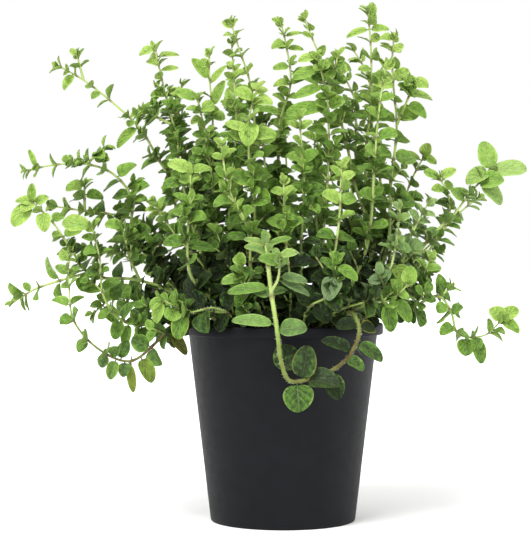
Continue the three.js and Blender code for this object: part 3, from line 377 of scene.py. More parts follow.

# The sprays: leaf is the longest leaf, gap the distance between pairs, bare the leafless share
# of the main stem and root where it stands. Route and shoots are way points above that. Blades are leaf
# tips, each with the leaf's width and, where given, how many stem points below the nearest it grows.
SPRAYS = [
    dict(
        name="upright_far_left", leaf=12, gap=22, bare=0.5, radius=1.4, root=(-44, 8),
        route=[[-63, 8, 205], [-81, 12, 234], [-93, 14, 254], [-114, 16, 274], [-131, 16, 287],
          [-147, 14, 296]],
        shoots=[[[-131, 16, 287], [-135, 14, 303]]],
        blades=[[-143, 8, 281, 7], [-125, 10, 275, 6], [-86, 12, 274, 6], [-109, 8, 245, 7],
          [-101, 10, 257, 6]],
    ),
    dict(
        name="upright_left_tall", leaf=12, gap=17, bare=0.42, radius=1.5, root=(-36, -6),
        route=[[-56, -4, 182], [-67, -6, 230], [-71, -5, 256], [-77, -4, 280], [-83, -4, 306]],
        shoots=[[[-71, -5, 256], [-89, -8, 265]]],
        blades=[[-68, -4, 304, 4], [-68, -6, 294, 5], [-93, -6, 303, 8]],
    ),
    dict(
        name="upright_left_small", leaf=10, gap=12, bare=0.4, radius=1.1, root=(-30, 18),
        route=[[-52, 20, 182], [-63, 22, 235], [-69, 24, 258], [-67, 26, 285]],
        shoots=[[[-63, 22, 235], [-74, 18, 266]]],
    ),
    dict(
        name="upright_left_mid", leaf=15, gap=18, bare=0.45, radius=1.4, root=(-24, -14),
        route=[[-41, -12, 182], [-46, -12, 224], [-49, -12, 246], [-55, -10, 272]],
        blades=[[-68, -12, 279, 9], [-44, -14, 268, 9], [-60, -10, 258, 7]],
    ),
    dict(
        name="upright_slim", leaf=11, gap=16, bare=0.36, radius=1.3, root=(-16, 4),
        route=[[-44, 6, 182], [-46, 6, 215], [-46, 6, 266], [-48, 4, 292], [-48, 4, 303]],
        blades=[[-58, 0, 300, 9, 5], [-38, 2, 296, 6, 4], [-40, 0, 285, 8, 5], [-38, 2, 262, 8]],
    ),
    dict(
        name="upright_tall_centre_left", leaf=12, gap=17, bare=0.42, radius=1.5, root=(-10, 24),
        route=[[-20, 28, 189], [-19, 30, 235], [-20, 30, 278], [-24, 30, 295], [-28, 28, 306],
          [-34, 26, 325]],
        shoots=[[[-19, 30, 235], [-10, 34, 262]]],
    ),
    dict(
        name="upright_rear_left", leaf=10, gap=13, bare=0.45, radius=1.2, root=(-22, 32),
        route=[[-30, 38, 189], [-31, 40, 242], [-32, 38, 282], [-34, 36, 313]],
    ),
    dict(
        name="upright_cluster_left", leaf=13, gap=14, bare=0.4, radius=1.2, root=(-30, -26),
        route=[[-35, -22, 182], [-33, -20, 220], [-30, -20, 259], [-32, -18, 292]],
    ),
    dict(
        name="upright_front_centre", leaf=16, gap=17, bare=0.38, radius=1.6, root=(-18, -30),
        route=[[-20, -34, 169], [-18, -38, 201], [-22, -40, 239], [-21, -40, 262], [-17, -38, 276]],
        blades=[[-31, -44, 275, 11], [-7, -42, 268, 11], [-36, -44, 256, 10, 2], [-22, -50, 243, 13, -5],
          [-5, -44, 249, 12, 1]],
    ),
    dict(
        name="upright_centre_tall", leaf=13, gap=15, bare=0.42, radius=1.5, root=(2, 10),
        route=[[-1, 10, 188], [-3, 10, 234], [-2, 10, 259], [5, 10, 284], [2, 10, 310], [-1, 10, 323]],
        blades=[[-7, 6, 308, 9], [12, 6, 318, 5], [13, 8, 308, 5], [-6, 6, 295, 7], [22, 0, 286, 12, -2],
          [-5, 4, 284, 8], [-18, 6, 269, 7], [-6, 4, 277, 8], [8, 4, 275, 8]],
    ),
    dict(
        name="upright_oblique", leaf=12, gap=21, bare=0.4, radius=1.5, root=(44, 4),
        route=[[58, 2, 182], [46, 2, 221], [41, 2, 247], [33, 2, 273], [25, 2, 299], [19, 2, 313],
          [14, 2, 325]],
    ),
    dict(
        name="upright_centre_right", leaf=14, gap=14, bare=0.45, radius=1.3, root=(24, -16),
        route=[[26, -16, 188], [29, -18, 240], [28, -18, 272], [22, -18, 299]],
        shoots=[[[28, -18, 272], [35, -16, 300]]],
        blades=[[10, -22, 298, 7], [23, -22, 302, 8], [20, -24, 290, 8], [6, -22, 286, 8], [7, -22, 275, 8],
          [2, -24, 264, 11], [31, -22, 273, 7], [40, -20, 283, 8]],
    ),
    dict(
        name="upright_tall_right", leaf=14, gap=16, bare=0.45, radius=1.7, root=(36, 20),
        route=[[54, 20, 189], [55, 20, 241], [58, 20, 274], [58, 18, 309], [56, 18, 332]],
        blades=[[42, 16, 318, 6], [69, 14, 322, 8], [50, 16, 295, 7], [73, 14, 284, 11]],
    ),
    dict(
        name="upright_right", leaf=15, gap=17, bare=0.42, radius=1.6, root=(50, -8),
        route=[[68, -10, 182], [69, -12, 217], [73, -12, 256], [71, -12, 279], [70, -12, 297],
          [71, -12, 311]],
        shoots=[[[73, -12, 256], [84, -14, 282]]],
        blades=[[93, -16, 281, 10], [92, -16, 262, 11], [62, -14, 312, 8]],
    ),
    dict(
        name="upright_right_inner", leaf=14, gap=17, bare=0.4, radius=1.4, root=(34, -28),
        route=[[54, -26, 182], [58, -26, 233], [60, -26, 258], [65, -24, 293]],
    ),
    dict(
        name="upright_right_rear", leaf=13, gap=15, bare=0.42, radius=1.3, root=(28, 34),
        route=[[44, 36, 189], [49, 38, 258], [48, 36, 276], [39, 34, 295]],
    ),
    dict(
        name="upright_rear_right", leaf=12, gap=17, bare=0.45, radius=1.3, root=(44, 30),
        route=[[67, 40, 195], [61, 46, 256], [56, 46, 296], [47, 46, 311]],
    ),
    dict(
        name="inner_left", leaf=15, gap=14, bare=0.35, radius=1.3, root=(-36, 24),
        route=[[-51, 32, 175], [-55, 36, 215], [-50, 38, 252]],
    ),
    dict(
        name="inner_centre", leaf=15, gap=14, bare=0.32, radius=1.3, root=(-4, -10),
        route=[[-11, -8, 182], [-11, -8, 221], [-14, -8, 252]],
    ),
    dict(
        name="inner_centre_right", leaf=15, gap=14, bare=0.32, radius=1.3, root=(10, -26),
        route=[[11, -28, 176], [13, -30, 214], [10, -28, 261]],
    ),
    dict(
        name="inner_right", leaf=14, gap=14, bare=0.32, radius=1.3, root=(20, 6),
        route=[[23, 10, 182], [19, 12, 221], [22, 12, 255]],
    ),
    dict(
        name="inner_oblique", leaf=14, gap=14, bare=0.35, radius=1.3, root=(-12, -50),
        route=[[-20, -58, 156], [-23, -56, 191], [-34, -50, 213], [-39, -46, 241]],
    ),
    dict(
        name="inner_front_right", leaf=14, gap=13, bare=0.3, radius=1.3, root=(20, -40),
        route=[[29, -52, 160], [34, -52, 191], [36, -48, 227]],
    ),
    dict(
        name="inner_front_centre", leaf=14, gap=13, bare=0.3, radius=1.2, root=(4, -44),
        route=[[4, -50, 155], [1, -50, 185], [0, -46, 218]],
    ),
    dict(
        name="right_mid", leaf=14, gap=16, bare=0.42, radius=1.4, root=(52, 12),
        route=[[70, 14, 169], [74, 14, 199], [79, 12, 208], [86, 10, 225], [92, 8, 236]],
        blades=[[95, 6, 245, 9], [78, 6, 241, 6], [101, 8, 233, 6]],
    ),
    dict(
        name="right_outer", leaf=13, gap=16, bare=0.42, radius=1.3, root=(54, -3),
        route=[[82, -4, 157], [99, -6, 182], [108, -8, 199], [105, -8, 214], [101, -8, 222]],
        blades=[[91, -10, 227, 7], [111, -10, 228, 7]],
    ),
    dict(
        name="right_far", leaf=15, gap=24, bare=0.4, radius=1.6, root=(50, -18),
        route=[[68, -20, 146], [81, -16, 165], [96, -12, 185], [110, -8, 199], [124, -6, 216],
          [134, -6, 226]],
        blades=[[130, -6, 246, 13], [157, -8, 230, 13], [141, -12, 207, 12], [118, -10, 220, 12, -6],
          [139, -16, 223, 13, 4], [110, -12, 215, 9]],
    ),
    dict(
        name="right_far_side", leaf=12, gap=15, bare=0.4, radius=1.3, root=(50, 21),
        route=[[81, 32, 162], [102, 34, 182], [115, 34, 197], [130, 32, 210]],
    ),
    dict(
        name="right_low", leaf=14, gap=15, bare=0.4, radius=1.2, root=(44, -30),
        route=[[71, -36, 140], [83, -40, 151], [92, -42, 171]],
    ),
    dict(
        name="right_trailing", leaf=14, gap=18, bare=0.45, radius=1.4, root=(36, -39),
        route=[[63, -46, 137], [81, -52, 141], [97, -54, 147], [104, -54, 137], [108, -54, 124],
          [125, -54, 123], [135, -54, 132]],
        shoots=[[[97, -54, 147], [103, -54, 152]]],
        blades=[[129, -56, 140, 11], [146, -52, 140, 9], [146, -58, 126, 9], [95, -56, 138, 9],
          [110, -58, 141, 9], [97, -58, 125, 9], [113, -58, 111, 12], [120, -60, 115, 8],
          [123, -58, 106, 9]],
    ),
    dict(
        name="right_silvery", leaf=12, gap=13, bare=0.32, radius=1.2, root=(40, -16),
        route=[[73, -24, 159], [81, -30, 185], [92, -30, 206]],
    ),
    dict(
        name="right_silvery_front", leaf=12, gap=13, bare=0.32, radius=1.2, root=(28, -36),
        route=[[62, -56, 152], [69, -58, 178], [72, -56, 202]],
        blades=[[79, -65, 156, 11, -2]],
    ),
    dict(
        name="right_rim", leaf=15, gap=14, bare=0.4, radius=1.2, root=(20, -49),
        route=[[48, -62, 143], [65, -68, 145], [76, -70, 155]],
        blades=[[77, -74, 166, 10], [66, -70, 126, 10], [79, -66, 132, 10]],
    ),
    dict(
        name="left_front_upright", leaf=15, gap=16, bare=0.32, radius=1.4, root=(-36, -36),
        route=[[-45, -44, 144], [-58, -50, 160], [-60, -50, 181], [-58, -50, 207], [-58, -48, 225]],
        blades=[[-71, -50, 232, 9], [-45, -50, 227, 9], [-43, -54, 178, 9], [-75, -52, 181, 9]],
    ),
    dict(
        name="left_far_high", leaf=13, gap=16, bare=0.45, radius=1.4, root=(-53, 2),
        route=[[-80, 2, 162], [-98, 0, 186], [-99, 0, 211], [-112, -2, 226], [-127, -4, 231],
          [-151, -6, 230], [-165, -8, 227]],
        shoots=[[[-127, -4, 231], [-116, -4, 242]]],
        blades=[[-164, -6, 241, 4], [-97, -4, 232, 10], [-140, -6, 237, 6]],
    ),
    dict(
        name="left_far_mid", leaf=14, gap=17, bare=0.42, radius=1.5, root=(-48, -10),
        route=[[-69, -12, 147], [-92, -14, 156], [-125, -16, 161], [-138, -16, 179], [-150, -16, 196],
          [-161, -16, 206]],
        shoots=[[[-125, -16, 161], [-143, -18, 156], [-160, -18, 150], [-173, -18, 142]],
          [[-92, -14, 156], [-99, -16, 172], [-103, -16, 190]]],
        blades=[[-161, -18, 218, 6], [-171, -18, 208, 9], [-166, -24, 201, 9, -2], [-173, -22, 192, 12],
          [-152, -12, 212, 8], [-152, -24, 189, 10, -3], [-142, -12, 199, 8], [-114, -16, 194, 8],
          [-130, -12, 190, 8], [-127, -20, 150, 9], [-88, -20, 171, 9], [-147, -20, 184, 7],
          [-130, -22, 178, 9], [-166, -18, 155, 5], [-126, -20, 172, 8]],
    ),
    dict(
        name="left_level", leaf=14, gap=17, bare=0.4, radius=1.5, root=(-50, 18),
        route=[[-78, 18, 170], [-87, 16, 191], [-108, 14, 198], [-130, 12, 201], [-150, 10, 204]],
        shoots=[[[-130, 12, 201], [-130, 10, 217]]],
        blades=[[-103, 8, 205, 13], [-142, 8, 217, 9], [-118, 8, 211, 9]],
    ),
    dict(
        name="left_low_outer", leaf=13, gap=15, bare=0.38, radius=1.3, root=(-48, -22),
        route=[[-72, -26, 136], [-90, -30, 128], [-105, -32, 133], [-114, -32, 147], [-116, -32, 168],
          [-121, -32, 190]],
        blades=[[-126, -36, 174, 9], [-140, -32, 194, 12], [-117, -36, 133, 8], [-101, -36, 116, 7],
          [-96, -36, 143, 7], [-91, -36, 112, 9], [-107, -38, 121, 9]],
    ),
    dict(
        name="left_level_inner", leaf=14, gap=15, bare=0.38, radius=1.3, root=(-44, 30),
        route=[[-70, 32, 157], [-89, 34, 171], [-115, 34, 173], [-138, 32, 175]],
    ),
    dict(
        name="left_hanging", leaf=14, gap=16, bare=0.42, radius=1.4, root=(-34, -42),
        route=[[-55, -52, 136], [-73, -56, 124], [-96, -58, 107], [-119, -58, 118], [-131, -56, 134],
          [-133, -56, 152], [-134, -54, 172]],
        blades=[[-81, -62, 95, 10], [-93, -60, 88, 6], [-60, -60, 112, 8], [-128, -60, 114, 8],
          [-139, -58, 131, 9], [-108, -60, 96, 9], [-99, -62, 98, 8], [-103, -62, 116, 8],
          [-114, -60, 104, 8], [-98, -54, 121, 9]],
    ),
    dict(
        name="left_rim", leaf=16, gap=14, bare=0.4, radius=1.2, root=(-24, -47),
        route=[[-43, -60, 140], [-59, -66, 138], [-74, -66, 145]],
        blades=[[-70, -70, 133, 12], [-66, -70, 122, 11], [-81, -64, 131, 9], [-84, -62, 141, 8]],
    ),
    dict(
        name="left_inner_low", leaf=15, gap=14, bare=0.34, radius=1.2, root=(-52, 10),
        route=[[-77, 14, 142], [-95, 14, 139], [-112, 10, 143], [-124, 8, 134]],
        blades=[[-103, 8, 153, 12], [-94, 8, 126, 12], [-108, 4, 129, 10], [-111, 22, 156, 10, 2],
          [-88, 8, 153, 11], [-98, 24, 160, 9, 2], [-120, 4, 146, 9]],
    ),
    dict(
        name="left_inner_mid", leaf=14, gap=15, bare=0.34, radius=1.2, root=(-34, -20),
        route=[[-49, -26, 163], [-68, -30, 185], [-82, -32, 205]],
    ),
    dict(
        name="front_trailing", leaf=14, gap=30, bare=0.8, radius=1.6, tip=1.4, root=(31, -43),
        route=[[41, -58, 138], [46, -71, 126], [40, -76, 112], [29, -80, 103], [16, -82, 98], [3, -84, 97],
          [-2, -86, 109], [-4, -84, 125], [-8, -80, 151], [-10, -76, 169], [-11, -74, 181]],
        shoots=[[[-8, -80, 151], [-4, -84, 158], [-3, -85, 165], [-3, -85, 172]]],
        blades=[[9, -88, 79, 19], [2, -78, 120, 16, 7], [14, -88, 118, 15, 11], [32, -90, 97, 17, -5],
          [33, -84, 86, 14], [25, -82, 123, 9, 3], [61, -76, 111, 10], [48, -82, 105, 9], [48, -68, 113, 9],
          [-30, -88, 137, 8, 3], [12, -92, 131, 12], [-34, -86, 152, 8], [14, -86, 158, 7],
          [16, -86, 151, 7], [-23, -80, 184, 5, 1], [-21, -86, 180, 7, 2], [4, -74, 185, 5, 1],
          [7, -88, 176, 6], [-15, -90, 172, 8, 2], [-5, -92, 171, 8, 2], [-12, -76, 188, 6],
          [57, -66, 129, 10], [32, -72, 130, 9]],
    ),
    dict(
        name="front_left_light", leaf=11, gap=12, bare=0.4, radius=1.1, root=(-16, -44),
        route=[[-23, -62, 141], [-24, -66, 153], [-26, -66, 169]],
        blades=[[-38, -70, 158, 8], [-17, -70, 141, 7]],
    ),
    dict(
        name="front_left_inner", leaf=16, gap=14, bare=0.36, radius=1.2, root=(-8, -36),
        route=[[-14, -40, 144], [-32, -44, 163], [-42, -44, 187]],
    ),
    dict(
        name="front_right_inner", leaf=16, gap=14, bare=0.36, radius=1.2, root=(12, -52),
        route=[[17, -64, 142], [28, -68, 148], [32, -68, 169]],
        blades=[[27, -76, 147, 13, -5], [45, -73, 159, 8, -2], [27, -73, 137, 7]],
    ),
    dict(
        name="rear_left", leaf=14, gap=16, bare=0.35, radius=1.4, root=(-24, 48),
        route=[[-47, 64, 175], [-57, 76, 216], [-60, 82, 244]],
    ),
    dict(
        name="rear_centre", leaf=14, gap=16, bare=0.35, radius=1.4, root=(0, 44),
        route=[[0, 58, 182], [3, 68, 230], [0, 74, 271]],
    ),
    dict(
        name="rear_right", leaf=14, gap=16, bare=0.35, radius=1.4, root=(20, 49),
        route=[[38, 66, 175], [48, 76, 216], [54, 84, 251]],
    ),
    dict(
        name="rear_left_low", leaf=14, gap=15, bare=0.35, radius=1.3, root=(-38, 36),
        route=[[-70, 66, 143], [-85, 84, 161], [-92, 92, 189]],
    ),
    dict(
        name="rear_right_low", leaf=14, gap=15, bare=0.35, radius=1.3, root=(38, 38),
        route=[[75, 64, 143], [90, 78, 167], [96, 84, 194]],
    ),
    dict(
        name="rear_trailing", leaf=14, gap=15, bare=0.4, radius=1.3, root=(8, 53),
        route=[[7, 76, 133], [10, 92, 127], [13, 106, 139], [16, 110, 166]],
    ),
    dict(
        name="rear_trailing_left", leaf=14, gap=15, bare=0.4, radius=1.3, root=(-12, 52),
        route=[[-29, 78, 136], [-39, 94, 140], [-46, 102, 166], [-45, 100, 194]],
    ),
    dict(
        name="rear_inner_right", leaf=15, gap=14, bare=0.32, radius=1.3, root=(26, 42),
        route=[[27, 54, 165], [26, 58, 205], [25, 60, 244]],
    ),
    dict(
        name="rear_inner_left", leaf=15, gap=14, bare=0.32, radius=1.3, root=(-32, 43),
        route=[[-56, 48, 160], [-70, 52, 195], [-76, 52, 222]],
    ),
]


# ---- Vectors, as tuples of three numbers in double precision


def add(a, b, share=1.0):
    return (a[0] + b[0] * share, a[1] + b[1] * share, a[2] + b[2] * share)


def sub(a, b):
    return (a[0] - b[0], a[1] - b[1], a[2] - b[2])


def times(a, share):
    return (a[0] * share, a[1] * share, a[2] * share)


def dot(a, b):
    return a[0] * b[0] + a[1] * b[1] + a[2] * b[2]


def cross(a, b):
    return (a[1] * b[2] - a[2] * b[1], a[2] * b[0] - a[0] * b[2], a[0] * b[1] - a[1] * b[0])


def size(a):
    return math.sqrt(dot(a, a))


def unit(a):
    return times(a, 1 / size(a))


def gap_between(a, b):
    return size(sub(a, b))


def mix(a, b, share):
    return a + (b - a) * share


def square_to(axis):
    """Any unit vector square to a unit vector."""
    aside = (0.0, 0.0, 1.0) if abs(axis[2]) < 0.8 else (0.0, 1.0, 0.0)
    return unit(cross(aside, axis))


def across_of(vector, axis):
    """A vector without its part along the axis, at unit length."""
    return unit(add(vector, axis, -dot(vector, axis)))


def make_draw(seed):
    """A repeatable draw between 0 and 1."""
    state = seed

    def draw():
        nonlocal state
        state = (state * 16807) % 2147483647
        return state / 2147483647

    return draw


# ---- Growth, the same rule as the solids'


class Stem:
    """A stem's points from root to tip, its radius at the root and what it grows from."""

    def __init__(self, spray, points, base, parent=None, start=0, tip=STEM_TIP):
        self.spray = spray
        self.points = points
        self.base = base
        self.tip = tip
        self.parent = parent
        self.start = start
        self.nodes = set()

    def radius(self, i):
        return mix(self.base, self.tip, i / (len(self.points) - 1))

    def axis(self, i):
        last = len(self.points) - 1
        return unit(sub(self.points[min(i + 1, last)], self.points[max(i - 1, 0)]))


class Leaf:
    """A leaf that grows from point i of a stem, its face as near to the wish as its direction allows."""

    def __init__(self, stem, i, along, wish, length, width):
        self.stem = stem
        self.at = i
        self.root = stem.points[i]
        self.along = along
        self.up = across_of(wish, along)
        self.aside = cross(self.up, along)
        self.length = length
        self.width = width

    def point(self, s, side):
        """A point of the blade: s runs from its root to its tip, side from -1 to 1 across it."""
        half = self.width / 2 * ovate(s)
        rise = LEAF_FOLD * half * abs(side) - LEAF_DROOP * self.length * s * s
        place = add(self.root, self.along, s * self.length)
        return add(add(place, self.aside, side * half), self.up, rise)

    def balls(self):
        """Balls that cover the blade beyond its root."""
        radius = BALL_SHARE * self.length + BALL_LEAST
        found = [(self.point(1, 0), BALL_TIP * radius)]
        for s in BALL_STATIONS:
            found += [(self.point(s, side), radius) for side in BALL_SIDES]
        return found


def as_points(rows):
    return [tuple(map(float, row)) for row in rows]


def ovate(s):
    """Half width of a blade at share s of its length past its stalk, as a share of its widest."""
    t = (s - PETIOLE) / (1 - PETIOLE)
    return math.sin(math.pi * t**BLADE_SHIFT) ** BLADE_ROUND if 0 < t < 1 else 0.0


def smooth_path(way, rooted):
    """A smooth path through way points. A rooted stem's first span stays straight."""
    spans = [gap_between(a, b) for a, b in zip(way, way[1:])]
    dirs = [times(sub(b, a), 1 / span) for a, b, span in zip(way, way[1:], spans)]
    slopes = [dirs[0]]
    for i in range(1, len(dirs)):
        share = spans[i - 1] / (spans[i - 1] + spans[i])
        slopes.append(dirs[0] if i == 1 and rooted else add(times(dirs[i - 1], 1 - share), dirs[i], share))
    slopes.append(dirs[-1])
    points = []
    for i, span in enumerate(spans):
        steps = math.ceil(span / STEM_STEP)
        for k in range(steps):
            t = k / steps
            point = times(way[i], 2 * t**3 - 3 * t**2 + 1)
            point = add(point, slopes[i], span * (t**3 - 2 * t**2 + t))
            point = add(point, way[i + 1], 3 * t**2 - 2 * t**3)
            points.append(add(point, slopes[i + 1], span * (t**3 - t**2)))
    return [*points, way[-1]]


def nearest_index(points, target):
    return min(range(len(points)), key=lambda i: gap_between(points[i], target))


def lay_stems():
    """The stems of every spray: its main stem, then its side shoots."""
    stems = []
    for index, spray in enumerate(SPRAYS):
        rooted = [(*spray["root"], level) for level in (ROOT_LEVEL, STRAIGHT_LEVEL)]
        path = smooth_path(as_points([*rooted, *spray["route"]]), True)
        main = Stem(index, path, spray["radius"], tip=spray.get("tip", STEM_TIP))
        stems.append(main)
        for shoot in spray.get("shoots", ()):
            way = as_points(shoot)
            start = nearest_index(main.points, way[0])
            way[0] = main.points[start]
            stems.append(Stem(index, smooth_path(way, False), spray["radius"] * SHOOT_RADIUS, main, start))
    return stems


def bend_clear(stems):
    """Bends stems that pass too near each other, or the rim, a little at a time."""
    counts = [len(stem.points) for stem in stems]
    starts = np.cumsum([0, *counts[:-1]])
    places = np.array([point for stem in stems for point in stem.points])
    radii = np.array([stem.radius(i) for stem in stems for i in range(len(stem.points))])
    owner = np.repeat([stem.spray for stem in stems], counts)
    rank = np.concatenate([np.arange(n) for n in counts])
    fixed = np.repeat([0 if stem.parent else ROOTED_POINTS for stem in stems], counts)
    hold = np.clip((rank - fixed) / HOLD_SPAN, 0, 1)
    first, second = [], []
    for i in range(len(places)):
        near = np.flatnonzero(np.abs(places[i + 1 :] - places[i]).max(axis=1) < NEAR_PAIRS) + i + 1
        near = near[owner[near] != owner[i]]
        first.append(np.full(len(near), i))
        second.append(near)
    first, second = np.concatenate(first), np.concatenate(second)
    need = radii[first] + radii[second] + STEM_GAP
    for _ in range(BEND_ROUNDS):
        push = rim_push(places, radii)
        away = places[first] - places[second]
        far = np.linalg.norm(away, axis=1)
        short = np.maximum(need - far, 0) / 2
        step = away * (short / np.maximum(far, 1e-9))[:, None]
        np.add.at(push, first, step)
        np.add.at(push, second, -step)
        moved = places.copy()
        for k in range(-BEND_REACH, BEND_REACH + 1):
            share = (1 - abs(k) / (BEND_REACH + 1)) / BEND_EASE
            for start, n in zip(starts, counts):
                low, high = max(0, -k), min(n, n - k)
                moved[start + low : start + high] += (
                    push[start + low + k : start + high + k]
                    * share
                    * hold[start + low : start + high, None]
                )
        places = moved
        for stem, start in zip(stems, starts):
            if stem.parent:
                places[start] = places[starts[stems.index(stem.parent)] + stem.start]
    for stem, start, n in zip(stems, starts, counts):
        stem.points = as_points(places[start : start + n])


def rim_push(places, radii):
    """What moves each point off the rim that it hangs over."""
    out = np.hypot(places[:, 0], places[:, 1])
    away = np.column_stack([out - RIM_CIRCLE, places[:, 2] - RIM_LEVEL])
    far = np.linalg.norm(away, axis=1)
    short = np.maximum(RIM_CLEARANCE + radii - far, 0)
    away *= (short / far)[:, None]
    across = (away[:, 0] / out)[:, None] * places[:, :2]
    return np.column_stack([across, away[:, 1]])


class BallGrid:
    """A search grid of balls, each with the spray that it belongs to and whether it is a stem's."""

    def __init__(self):
        self.cells = {}
        self.cell = 2 * MAX_BALL

    def cell_of(self, centre):
        return tuple(math.floor(value / self.cell) for value in centre)

    def add(self, centre, radius, spray, stem=False):
        self.cells.setdefault(self.cell_of(centre), []).append((centre, radius, spray, stem))

    def near(self, centre):
        x, y, z = self.cell_of(centre)
        for i in (x - 1, x, x + 1):
            for j in (y - 1, y, y + 1):
                for k in (z - 1, z, z + 1):
                    yield from self.cells.get((i, j, k), ())


def clear_of_pot(centre, radius):
    """Whether a ball is off the floor and clear of the pot's wall, its rim and the peat."""
    if centre[2] < radius + POT_MARGIN:
        return False
    out = math.hypot(centre[0], centre[1])
    if math.hypot(out - RIM_CIRCLE, centre[2] - RIM_LEVEL) < RIM_CLEARANCE + radius:
        return False
    if centre[2] > POT_HEIGHT + radius:
        return True
    if out > mix(POT_FOOT_RADIUS, POT_RIM_RADIUS, centre[2] / POT_HEIGHT) + radius:
        return True
    inside = out < POT_TOP_RADIUS - POT_WALL - POT_MARGIN - radius
    return inside and centre[2] > SOIL_TOP + SOIL_RISE + radius


def settle(leaf, spray, grid, leaves, own_share):
    """Adds the leaf if it is clear of the rest, and says whether it was."""
    balls = leaf.balls()
    for centre, radius in balls:
        if not clear_of_pot(centre, radius):
            return False
        for other, other_radius, other_spray, is_stem in grid.near(centre):
            own = other_spray == spray
            if own and is_stem:
                continue
            need = (own_share if own else 1) * (radius + other_radius)
            if gap_between(centre, other) < need:
                return False
    for centre, radius in balls:
        grid.add(centre, radius, spray)
    leaves.append(leaf)
    return True


def grow_set_leaves(stems, grid, leaves):
    """The listed leaves, each to its own tip from its spray's nearest stem point or a few below."""
    for index, spray in enumerate(SPRAYS):
        for x, y, z, width, *below in spray.get("blades", ()):
            tip = (float(x), float(y), float(z))
            own = [stem for stem in stems if stem.spray == index]
            roots = [nearest_index(stem.points, tip) for stem in own]
            nearest = nearest_index([stem.points[i] for stem, i in zip(own, roots)], tip)
            stem = own[nearest]
            i = min(len(stem.points) - 1, roots[nearest] - sum(below))
            along = sub(tip, stem.points[i])
            length = size(along)
            leaf = Leaf(stem, i, times(along, 1 / length), LIGHT, length, width)
            settle(leaf, index, grid, leaves[index], SET_SHARE)


def grow_pairs(stem, draw, grid, leaves):
    """A stem's leaf pairs from its tip down, each turned across the last."""
    spray = SPRAYS[stem.spray]
    last = len(stem.points) - 1
    lowest = last * (SHOOT_BARE if stem.parent else spray["bare"])
    turn = draw() * math.pi
    i = last
    while i >= lowest:
        grown = i / last
        stem.nodes.add(i)
        length = spray["leaf"] * LEAF_SCALE * (PAIR_LENGTH - PAIR_TAPER * grown**4)
        grow_pair(stem, i, turn, length, draw, grid, leaves)
        turn += PHYLLOTAXY
        gap = spray["gap"] * mix(*PAIR_GAPS, draw()) * (GAP_LOW - GAP_TAPER * grown**3)
        i -= max(1, round_half_up(gap / STEM_STEP))


def joint_axes(stem, i):
    """A stem's axis at point i and two unit vectors across it."""
    axis = stem.axis(i)
    across = square_to(axis)
    return axis, across, cross(axis, across)


def turned(across, other, turn):
    """The unit vector that lies that far round from across towards other."""
    return add(times(across, math.cos(turn)), other, math.sin(turn))


def face_wish(place, axis):
    """Where a blade would turn its face: up its stem, to the sky and out from the bush."""
    out = unit((place[0], place[1] - OUT_FROM, 0.0))
    return add(add(times(axis, FACE_AXIS), out, FACE_OUT), (0.0, 0.0, FACE_SKY))


def round_half_up(value):
    return math.floor(value + 0.5)


def grow_pair(stem, i, turn, length, draw, grid, leaves):
    """Two leaves across from each other, each turned a little further until it is clear of the rest."""
    grown = i / (len(stem.points) - 1)
    axis, across, other = joint_axes(stem, i)
    spread = mix(*PAIR_SPREADS, grown**3)
    for side in (0, math.pi):
        lean = turn + side + (draw() - 0.5) * LEAN_JITTER
        roll = (draw() - 0.5) * ROLL_JITTER
        full = length * (FULL_LEAST + FULL_SPAN * draw())
        sag = mix(*LEAF_SAGS, draw())
        for attempt, extra in enumerate(TURNS):
            radial = turned(across, other, lean + extra)
            along = add(times(radial, math.sin(spread)), axis, math.cos(spread))
            along = unit(add(along, (0.0, 0.0, -sag * (1 - grown))))
            wish = add(face_wish(stem.points[i], axis), cross(axis, radial), roll)
            long = max(LEAF_SMALLEST, full * (1 - TRY_SHRINK * attempt))
            leaf = Leaf(stem, i, along, wish, long, long * mix(LEAF_WIDTH, TIP_WIDTH, grown**6))
            if settle(leaf, stem.spray, grid, leaves[stem.spray], OWN_SHARE):
                break


def grow_plant():
    """Every stem and leaf of the plant, the leaves listed by spray."""
    stems = lay_stems()
    bend_clear(stems)
    grid = BallGrid()
    for stem in stems:
        for i, point in enumerate(stem.points):
            grid.add(point, stem.radius(i) + STEM_MARGIN, stem.spray, True)
    leaves = [[] for _ in SPRAYS]
    grow_set_leaves(stems, grid, leaves)
    draw = make_draw(SEED)
    for stem in stems:
        grow_pairs(stem, draw, grid, leaves)
    return stems, leaves, grid


# ---- Meshes, built in millimetres


